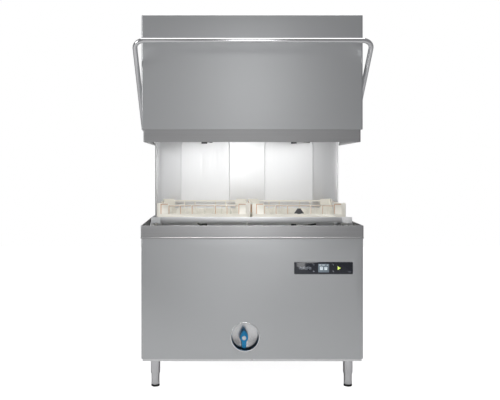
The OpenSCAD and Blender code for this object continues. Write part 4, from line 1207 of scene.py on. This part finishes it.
@dataclass
class WashChamber:
    """What shows inside the wash opening: rails, guides, splash wall and tank."""

    press_half: float = 150 * MM
    press_radius: float = 50 * MM

    def track(self) -> None:
        """The bearers and rails, with the rounded guides on the front rail's ends."""
        dress_softened("machine", ("rack_track", "rail", 1.0))
        box = Box.of("rail_caps")
        for side, finish in ((-1, "cap_grey"), (1, "cap_pale")):
            low_x, high_x = sorted((side * (box.high.x - 50 * MM), side * box.high.x))
            outline = rounded_rectangle(
                ((high_x - low_x) / 2, box.size.y / 2), [3.9 * MM] * 4,
                ((low_x + high_x) / 2, box.centre.y), 5
            )
            cap = Shape().prism(outline, box.low.z, box.high.z, edge=2.5 * MM)
            cap.block(
                (low_x + 10 * MM, box.low.y - 0.01 * MM, box.low.z + 8 * MM),
                (high_x - 10 * MM, box.low.y + 2 * MM, box.high.z - 8 * MM), 0.8 * MM
            )
            dress(
                cap.object(f"rail_guide_{'left' if side < 0 else 'right'}", [finish]), "machine",
                "rail_caps"
            )

    def wall(self) -> None:
        """The splash wall with its two soft pressings and side flanges."""
        box = Box.of("rear_wall")
        shape = Shape()
        sheet = Shape().block(
            (box.low.x, box.high.y - SHEET, box.low.z), (box.high.x, box.high.y, box.high.z), 0.3 * MM
        )
        for side in (-1, 1):
            outer, inner = side * box.high.x, side * (box.high.x - SHEET)
            shape.block((outer, box.low.y, box.low.z), (inner, box.high.y, box.high.z), 0.3 * MM)
        bottom, top = DATUM.rim_top + 40 * MM, box.high.z - 70 * MM
        face = box.high.y - SHEET
        for node in ("rack_left", "rack_right"):
            middle = Box.of(node).centre.x
            part = bmesh.new()
            rings = []
            for inset, rise in ((0, 0), (1.2, 0.5), (3.2, 3.2), (4.6, 3.9), (7.0, 4.0)):
                half = (self.press_half - inset * MM, (top - bottom) / 2 - inset * MM)
                radii = [6 * MM, self.press_radius - inset * MM, self.press_radius - inset * MM, 6 * MM]
                ring = rounded_rectangle(half, radii, (middle, (top + bottom) / 2), 10)
                rings.append([part.verts.new((x, face - rise * MM, z)) for x, z in ring])
            loft(part, rings)
            shape.take(part, 1)
        pressed = shape.object("pressings", ["wall", "bright"])
        pipe = drill(20 * MM, (0, face, Box.of("upper_manifold").high.z - 20 * MM))
        flat = carve(sheet.object("flat_sheet", ["wall"]), pipe)
        dress(merge("splash_wall", [flat, pressed]), "machine", "rear_wall")

    def tank(self) -> None:
        """The tank, its sump, and the filters, whose rows of holes are black discs painted on the plates as
        the shade seen through them.
        """
        dress_softened("machine", ("wash_tank", "tank", 0.4), ("tank_sump", "tank", 0.4))
        box = Box.of("tank_filters")
        # Each hole is a thin black disc on the plate: painted shade standing in for the dark seen through a
        # hole.
        hole = Shape().lathe(
            mm((1.9, 0), (1.9, 0.25), (0, 0.25)), (0, 0, 0), "z", 6
        ).object("hole", ["black"])
        plates = softened_node("tank_filters", "satin", 0.6 * MM)
        reach = (box.high.x - 2 * MM) / 2
        grids = []
        for side in (-1, 1):
            place = (side * (reach + MM), box.centre.y, box.low.z + 3 * MM)
            grids.append(GRID.lay("holes", hole, "black", (36, 40), (13 * MM, 10.5 * MM), place, Facing.UP))
        drop(hole)
        dress(merge("tank_filter_plates", [plates, *grids]), "machine", "tank_filters")

    def build(self) -> None:
        """Builds every piece of the chamber."""
        self.track()
        self.wall()
        self.tank()
        rows = (
            ("lower_manifold", "satin", 0.5), ("upper_manifold", "bright", 0.5),
            ("overflow_strainer", "board", 0.5), ("heating_elements", "satin", 0.5),
        )
        dress_softened("machine", *rows)


class Level(Enum):
    """Which way the arms of one level spray: upwards or downwards."""

    LOWER = 1
    UPPER = -1


@dataclass
class SprayArms:
    """The wash arm and the rinse arm on one spindle."""

    level: Level
    side: str
    wash_turn: float
    rinse_turn: float
    reach: float = 245 * MM
    width: float = 30 * MM
    rinse_reach: float = 232 * MM

    def _place(self, piece: bpy.types.Object, node: str, degrees: float) -> None:
        """Turns a piece built upwards from its seat into place and dresses it."""
        box = Box.of(node)
        flip = Matrix.Rotation(math.pi if self.level is Level.UPPER else 0, 4, "X")
        seat = box.high.z if self.level is Level.UPPER else box.low.z
        spin = Matrix.Rotation(math.radians(degrees), 4, "Z")
        piece.data.transform(Matrix.Translation((box.centre.x, box.centre.y, seat)) @ spin @ flip)
        dress(piece, node, node)

    def build(self) -> None:
        """Builds both arms, with their nozzles, on their own bodies."""
        name = f"{self.level.name.lower()}_{{}}_arm_{self.side}"
        outline = rounded_rectangle((self.reach, self.width / 2), [self.width / 2 - 0.1 * MM] * 4, steps=8)
        arm = Shape().prism(outline, 3 * MM, 18 * MM, edge=4.5 * MM, steps=4)
        arm.lathe(
            mm((8.08, 0), (22, 0), (24, 2), (24, 19), (21.5, 21.7), (8.08, 21.7), (8.08, 0)), (0, 0, 0)
        )
        body = arm.object("arm", ["satin"])
        jet = Shape().lathe(mm((5.2, 0), (4.8, 1.1), (2.8, 1.3), (2.2, 0.3), (0, 0.3)), (0, 0, 0), "z", 16)
        item = jet.object("jet", ["satin"])
        jets = [
            GRID.lay("jets", item, "satin", (6, 1), (34 * MM, 0), (side * 0.135, 0, 17.9 * MM), Facing.UP)
            for side in (-1, 1)
        ]
        self._place(
            merge(name.format("wash") + "_tube", [body, *jets]), name.format("wash"), self.wash_turn
        )
        reach, radius, mid = self.rinse_reach, 5.5 * MM, 6.85 * MM
        end = [(4 * MM, reach), (0, reach)]
        profile = [(r, -h) for r, h in reversed(end)] + [
            (radius, 1.5 * MM - reach), (radius, reach - 1.5 * MM)
        ] + end
        tube = Shape().lathe(profile, (0, 0, mid), "x", 20)
        tube.lathe(
            mm((8.08, 0), (14, 0), (15, 1), (15, 12.7), (14, 13.7), (8.08, 13.7), (8.08, 0)), (0, 0, 0)
        )
        lobes = []
        for k in range(64):
            a = math.tau * k / 64
            grip = (15.6 + 1.4 * math.cos(8 * a)) * MM
            lobes.append((grip * math.cos(a), grip * math.sin(a)))
        tube.prism(lobes, 13.8 * MM, 24.6 * MM, edge=2 * MM)
        tips = [
            GRID.lay(
                "tips", item, "satin", (5, 1), (40 * MM, 0), (side * 0.12, 0, mid + radius - 0.4 * MM),
                Facing.UP
            )
            for side in (-1, 1)
        ]
        drop(item)
        self._place(
            merge(name.format("rinse") + "_tube", [tube.object("tube", ["black"]), *tips]),
            name.format("rinse"), self.rinse_turn
        )


# ---------------------------------------------------------------- drain, controls and feet
@dataclass
class Drain:
    """The dished recess and the blue lever that opens the tank's drain."""

    ring: float = 5 * MM

    def recess(self) -> None:
        """The pressed recess with its rolled ring, whose inner wall is painted near-black as shade and dark
        reflection.
        """
        box = Box.of("drain_cup")
        front, back = box.low.y, box.high.y
        wall = RECESS_MOUTH - 0.2 * MM
        outer = wall + self.ring
        profile = [
            (wall, DATUM.front), (outer, DATUM.front), (outer, front + 1.2 * MM),
            (outer - 1 * MM, front + 0.3 * MM),
            (outer - 2.4 * MM, front), (wall - 0.4 * MM, front + 0.5 * MM),
            (wall - SHEET, front + 2.4 * MM),
            (wall - SHEET, back - 12 * MM), (wall - 3.5 * MM, back - 5 * MM), (wall - 9 * MM, back - SHEET),
            (12.5 * MM, back - SHEET), (12 * MM, back), (wall - 9 * MM, back),
            (wall - 2 * MM, back - 4.5 * MM),
            (wall, back - 12 * MM), (wall, DATUM.front),
        ]
        cup = Shape().lathe(profile, (box.centre.x, 0, box.centre.z), "y", 96)
        piece = cup.object("drain_recess", ["dish", "recess"], 40)
        # The cup's inner wall takes slot 1, painted shade and dark reflection.
        for face in piece.data.polygons:
            reach = math.hypot(face.center.x - box.centre.x, face.center.z - box.centre.z)
            if reach > wall - 6 * MM and front + 3 * MM < face.center.y < back - 2 * MM:
                face.material_index = 1
        dress(piece, "machine", "drain_cup")

    def lever(self) -> None:
        """The pointed lever with its straight tail and white cap."""
        box = Box.of("drain_lever")
        hub = (box.centre.x, box.high.z - 40 * MM)
        front = box.low.y + 3 * MM
        shape = Shape()
        rings = []
        part = bmesh.new()
        head = [(21.5, 0), (20.6, 9), (17.6, 19), (12.2, 28.5), (6.2, 36), (2.4, 39.2)]
        tail = [
            (-20.3, -7), (-17, -13.2), (-13.6, -18), (-12.2, -24), (-12, -46), (-10.6, -51), (-7, -53.6)
        ]
        outline = head + [(0, 40)] + [(-x, z) for x, z in reversed(head)]
        outline += tail + [(0, -54)] + [(-x, z) for x, z in reversed(tail)]
        for inset, depth in ((0, 13.0), (0, 4.0), (0.7, 1.8), (2.4, 0.4), (4.6, 0.0)):
            ring = []
            for x, z in outline:
                scale = (1 - inset / math.hypot(x, z)) * MM
                ring.append(part.verts.new((hub[0] + x * scale, front + depth * MM, hub[1] + z * scale)))
            rings.append(ring)
        loft(part, rings)
        shape.take(part)
        dome = mm(
            (0, -3), (2, -3), (2.2, -2.8), (6, -2.75), (9, -2.3), (10.5, -1.2), (11, 0), (11, 1), (0, 1)
        )
        shape.lathe(dome, (hub[0], front, hub[1]), "y", 48, slot=1)
        dress(shape.object("drain_lever_moulding", ["lever", "white"], 38), "drain_lever", "drain_lever")
        dress_softened("drain_lever", ("valve_stem", "polished", 0.5))

    def build(self) -> None:
        """Builds the recess, the lever and the pipes behind them."""
        self.recess()
        self.lever()
        dress_softened("machine", ("drain_valve", "board", 0.8), ("drain_pipes", "board", 0.5))


@dataclass
class Controls:
    """The glossy fascia with its display, keys and generic marks."""

    proud: float = 0.25 * MM

    def fascia(self) -> None:
        """The dark fascia, its display and the signs on it."""
        box, screen = Box.of("control_fascia"), Box.of("display")
        half = (box.size.x / 2, box.size.z / 2)
        plate = Shape().prism(
            rounded_rectangle(half, [5 * MM] * 4, (box.centre.x, box.centre.z)), box.low.y, box.high.y, "y",
            0.9 * MM
        )
        piece = plate.object("fascia_plate", ["fascia"])
        window = rounded_rectangle(
            (screen.size.x / 2, screen.size.z / 2), [1.2 * MM] * 4, (screen.centre.x, screen.centre.z), 3
        )
        carve(piece, Shape().prism(window, box.low.y - 0.01, box.high.y + 0.01, "y"))
        for key in KEYS:
            spot = Box.of(key)
            radius = spot.size.x / 2 + 0.35 * MM
            carve(piece, drill(radius, (spot.centre.x, box.centre.y, spot.centre.z), 32, 20 * MM))
        waves = Shape()
        left, mid, face = box.low.x + 26 * MM, box.centre.z, box.low.y - self.proud
        for row in range(3):
            line = []
            for i in range(16):
                rise = (row - 1) * 5 + 1.5 * math.sin(i * 1.26)
                line.append((left + i * 4.2 * MM, face + 0.5 * MM, mid + rise * MM))
            waves.tube(line, 0.7 * MM, 6)
        for k in range(5):
            edge = box.high.x - (12 + 3.2 * k) * MM
            low, high = (edge, face, mid - 20 * MM), (edge + 1.6 * MM, face + 0.5 * MM, mid - 18.4 * MM)
            waves.block(low, high, 0.1 * MM, steps=1)
        dress(merge("fascia_panel", [piece, waves.object("marks", ["mark"])]), "machine", "control_fascia")

    def display(self) -> None:
        """The display window with two generic tiles and a status line."""
        box = Box.of("display")
        shape = Shape().block(box.low, box.high, 0.5 * MM)
        face = box.low.y
        for way in (-1, 1):
            x = box.centre.x + way * 11.5 * MM
            frame_outline = rounded_rectangle(
                (7.5 * MM, 8 * MM), [2 * MM] * 4, (x, box.centre.z - 2 * MM), 4
            )
            shape.prism(frame_outline, face - 0.12 * MM, face + 0.3 * MM, "y", 0.05 * MM, 1)
            shape.prism(
                rounded_rectangle((4.6 * MM, 2.2 * MM), [MM] * 4, (x, box.centre.z + 1 * MM), 3),
                face - 0.22 * MM, face + 0.3 * MM, "y", 0.05 * MM, 2
            )
        for x, wide in ((-20, 7), (20, 7), (0, 16)):
            middle = (box.centre.x + x * MM, box.centre.z + 16 * MM)
            shape.prism(
                rounded_rectangle((wide / 2 * MM, 1.4 * MM), [0.7 * MM] * 4, middle, 3), face - 0.12 * MM,
                face + 0.3 * MM, "y", 0.05 * MM, 1
            )
        dress(shape.object("display_window", ["screen", "screen_mark", "mark"]), "machine", "display")

    def keys(self) -> None:
        """The start key with its triangle and the four round menu keys."""
        for name in KEYS:
            box = Box.of(name)
            radius, back = box.size.x / 2, box.size.y
            profile = [(0, 0), (radius - 0.5 * MM, 0), (radius, 0.4 * MM), (radius, back), (0, back)]
            shape = Shape().lathe(profile, (box.centre.x, box.low.y, box.centre.z), "y", 40)
            x, z, face = box.centre.x, box.centre.z, box.low.y
            if name == "start_key":
                sign, finish = [
                    (x - 6.5 * MM, z - 9.5 * MM), (x + 9.5 * MM, z), (x - 6.5 * MM, z + 9.5 * MM)
                ], "start"
            else:
                sign, finish = rounded_rectangle((2.6 * MM, 1.1 * MM), [MM] * 4, (x, z), 4), "mark"
            shape.prism(sign, face - self.proud, face + 0.4 * MM, "y", 0.1 * MM, 1)
            dress(shape.object(name + "_button", ["fascia", finish]), name, name)

    def build(self) -> None:
        """Builds the fascia, display, keys and the housings behind them."""
        self.fascia()
        self.display()
        self.keys()
        dress_softened("machine", ("control_box", "board", 0.8), ("electrical_box", "cabinet", 1.0))


@dataclass
class Feet:
    """Four polished foot tubes with their screw legs and rubber pads."""

    chamfer: float = 5 * MM

    def build(self) -> None:
        """Builds the tubes on the machine and each leg on its own body."""
        tubes = Shape()
        box = Box.of("foot_tubes")
        for row in ("front", "rear"):
            for side in ("left", "right"):
                name = f"foot_{row}_{side}"
                leg = Box.of(name)
                x, y = leg.centre.x, leg.centre.y
                low, top, pad = box.low.z, box.high.z, leg.low.z + 10 * MM
                outer, bore = 25 * MM, 21.5 * MM
                sleeve = [
                    (bore, low), (outer - self.chamfer * 0.55, low),
                    (outer - 1.4 * MM, low + self.chamfer * 0.7),
                    (outer, low + self.chamfer * 1.5), (outer, top - 3 * MM), (bore, top - 3 * MM),
                    (bore, low),
                ]
                tubes.lathe(sleeve, (x, y, 0), "z", 64)
                tubes.block(
                    (x - 40 * MM, y - 30 * MM, top - 3 * MM), (x + 40 * MM, y + 30 * MM, top), 0.8 * MM
                )
                stem, rubber = 21.2 * MM, leg.size.x / 2
                screw = [
                    (0, leg.high.z), (stem - 1 * MM, leg.high.z), (stem, leg.high.z - 1 * MM),
                    (stem, pad + 16 * MM),
                    (stem + 0.5 * MM, pad + 9 * MM), (stem - 0.4 * MM, pad + 2.4 * MM),
                    (stem - 2 * MM, pad - 0.5 * MM), (0, pad - 0.5 * MM),
                ]
                sole = [
                    (0, pad), (rubber - 1.2 * MM, pad), (rubber - 0.2 * MM, pad - 1 * MM),
                    (rubber, pad - 4 * MM),
                    (rubber, 1.6 * MM), (rubber - 1.4 * MM, 0), (0, 0),
                ]
                foot = Shape().lathe(screw, (x, y, 0), "z", 64)
                foot.lathe(sole, (x, y, leg.low.z), "z", 64, slot=1)
                dress(foot.object(name + "_leg", ["foot", "rubber"]), name, name)
        dress(tubes.object("foot_sleeves", ["foot"]), "machine", "foot_tubes")


@dataclass
class Services:
    """Frame, pumps, boiler, posts and connections."""

    body: str = "machine"

    def connections(self) -> None:
        """The threaded water inlet and the cable gland, with their hexagons."""
        back = Box.of("rear_panel").high.y
        inlet, gland = Box.of("water_inlet"), Box.of("power_gland")
        x, z, end = -0.3, DATUM.panel_low + 94 * MM, inlet.high.y
        thread = [(9.2 * MM, back), (13.2 * MM, back)]
        for k in range(11):
            at = back + (3 + 1.9 * k) * MM
            thread += [(13.2 * MM, at), (12.4 * MM, at + 0.9 * MM)]
        thread += [(12.2 * MM, end), (9.2 * MM, end), (9.2 * MM, back)]
        shape = Shape().lathe(thread, (x, 0, z), "y", 40)
        shape.prism(arc((x, z), 19 * MM, 0, 300, 5), back, back + 2.5 * MM, "y", 0.5 * MM)
        dress(
            merge(
                "water_inlet_union",
                [softened_node("water_inlet", "brass"), shape.object("thread", ["brass"])]
            ),
            self.body, "water_inlet"
        )
        x, end = 0.3, gland.high.y
        foot = back + 6 * MM
        dome = [
            (9.0 * MM, foot), (16.5 * MM, foot), (16.5 * MM, foot + 7 * MM), (13 * MM, end - 1 * MM),
            (11 * MM, end),
            (9.0 * MM, end), (9.0 * MM, foot),
        ]
        nut = Shape().lathe(dome, (x, 0, z), "y", 40)
        ring = Shape().prism(
            arc((x, z), 18 * MM, 0, 300, 5), back + 0.1 * MM, back + 8 * MM, "y", 0.6 * MM
        ).object("nut", ["black"])
        bore = drill(9.0 * MM, (x, back, z))
        parts = [
            softened_node("power_gland", "black"), nut.object("gland_dome", ["black"]), carve(ring, bore)
        ]
        dress(merge("cable_gland", parts), self.body, "power_gland")

    def build(self) -> None:
        """Builds the service pieces."""
        self.connections()
        rows = (
            ("base_frame", "tank", 1.0), ("guide_posts", "post", 1.2), ("gas_cylinders", "spring", 1.0),
            ("wash_pumps", "pump", 2.0), ("boiler", "tank", 2.0), ("rinse_pump", "pump", 1.5),
        )
        dress_softened(self.body, *rows)


# ---------------------------------------------------------------- studio
@dataclass(frozen=True)
class Softbox:
    """A rectangular lamp: its place, the point that it faces, its width and height, and its power."""

    place: Point
    aim: Point
    size: Pair
    watts: float

    def hang(self, name: str) -> None:
        """Adds the lamp to the scene under a name."""
        data = bpy.data.lights.new(name, "AREA")
        data.shape = "RECTANGLE"
        data.size, data.size_y = self.size
        data.energy = self.watts
        lamp = bpy.data.objects.new(name, data)
        lamp.location = self.place
        lamp.rotation_euler = (Vector(self.aim) - Vector(self.place)).to_track_quat("-Z", "Y").to_euler()
        bpy.context.scene.collection.objects.link(lamp)


SOFTBOXES = {
    "key": Softbox((-3.5, -1.6, 2.2), (0, 0, 1.1), (1.2, 1.8), 26),
    "front": Softbox((0.2, -4.6, 1.85), (0, 0, 1.5), (0.5, 3.6), 13),
    "left": Softbox((-1.1, -4.6, 1.8), (-0.2, 0, 1.2), (0.9, 3.6), 2.0),
    "top": Softbox((0, 0.2, 4.0), (0, 0, 1.0), (3.0, 2.4), 45),
    "opening": Softbox((0, -0.26, 1.31), (0, 0.3, 1.12), (1.0, 0.03), 2.3),
    "racks": Softbox((0, -0.66, 1.24), (0, -0.62, 0.5), (1.1, 0.05), 3.5),
}


@dataclass
class Studio:
    """Camera, soft lights, pale floor and world."""

    camera_x: float = -0.183
    distance: float = 3.61
    camera_z: float = 1.160
    lens: float = 50.0
    shift: Pair = (0.066, -0.068)
    floor_lift: float = 0.85
    ambient: float = 0.25

    def camera(self) -> None:
        """Places the level camera in front of the machine."""
        data = bpy.data.cameras.new("camera")
        data.lens, data.sensor_width = self.lens, 36.0
        data.shift_x, data.shift_y = self.shift
        camera = bpy.data.objects.new("camera", data)
        camera.location = (self.camera_x, DATUM.front - self.distance, self.camera_z)
        camera.rotation_euler = (math.pi / 2, 0, 0)
        bpy.context.scene.collection.objects.link(camera)
        bpy.context.scene.camera = camera

    def world(self) -> None:
        """White to the camera and an even grey to everything else."""
        world = bpy.data.worlds.new("studio")
        world.use_nodes = True
        nodes, links = world.node_tree.nodes, world.node_tree.links
        nodes.clear()
        path = nodes.new("ShaderNodeLightPath")
        tones = []
        for colour, strength in (((1, 1, 1.02, 1), self.ambient), ((1, 1, 1, 1), 1.0)):
            tone = nodes.new("ShaderNodeBackground")
            tone.inputs["Color"].default_value = colour
            tone.inputs["Strength"].default_value = strength
            tones.append(tone)
        mix, out = nodes.new("ShaderNodeMixShader"), nodes.new("ShaderNodeOutputWorld")
        links.new(path.outputs["Is Camera Ray"], mix.inputs[0])
        links.new(tones[0].outputs[0], mix.inputs[1])
        links.new(tones[1].outputs[0], mix.inputs[2])
        links.new(mix.outputs[0], out.inputs[0])
        bpy.context.scene.world = world

    def floor(self) -> None:
        """A pale seamless floor that the camera sees as near white."""
        floor = Shape().block((-6, -6, -0.02), (6, 6, 0.0), 0).object("studio_floor", ["floor"])
        tree = floor.data.materials[0].node_tree
        nodes, links = tree.nodes, tree.links
        path, glow = nodes.new("ShaderNodeLightPath"), nodes.new("ShaderNodeEmission")
        total, out = nodes.new("ShaderNodeAddShader"), next(n for n in nodes if n.type == "OUTPUT_MATERIAL")
        lift = nodes.new("ShaderNodeMath")
        lift.operation = "MULTIPLY"
        lift.inputs[1].default_value = self.floor_lift
        links.new(path.outputs["Is Camera Ray"], lift.inputs[0])
        links.new(lift.outputs[0], glow.inputs["Strength"])
        links.new(out.inputs[0].links[0].from_socket, total.inputs[0])
        links.new(glow.outputs[0], total.inputs[1])
        links.new(total.outputs[0], out.inputs[0])

    def build(self) -> None:
        """Sets up the whole studio."""
        self.camera()
        self.world()
        self.floor()
        for name, softbox in SOFTBOXES.items():
            softbox.hang(name)
        bpy.context.scene.view_settings.view_transform = "Standard"


def main() -> None:
    """Builds the machine sub-assembly by sub-assembly."""
    logging.basicConfig(level=logging.INFO, format="%(message)s")
    Studio().build()
    Hood().build()
    Cabinet().build()
    WashChamber().build()
    DishRack("left", clip=False).build()
    DishRack("right", clip=True).build()
    turns = {
        (Level.LOWER, "left"): (25, 100), (Level.LOWER, "right"): (-35, 50),
        (Level.UPPER, "left"): (15, 80), (Level.UPPER, "right"): (-20, 60),
    }
    for (level, side), (wash, rinse) in turns.items():
        SprayArms(level, side, wash, rinse).build()
    Drain().build()
    Controls().build()
    Feet().build()
    Services().build()


if __name__ == "__main__":
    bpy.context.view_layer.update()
    main()
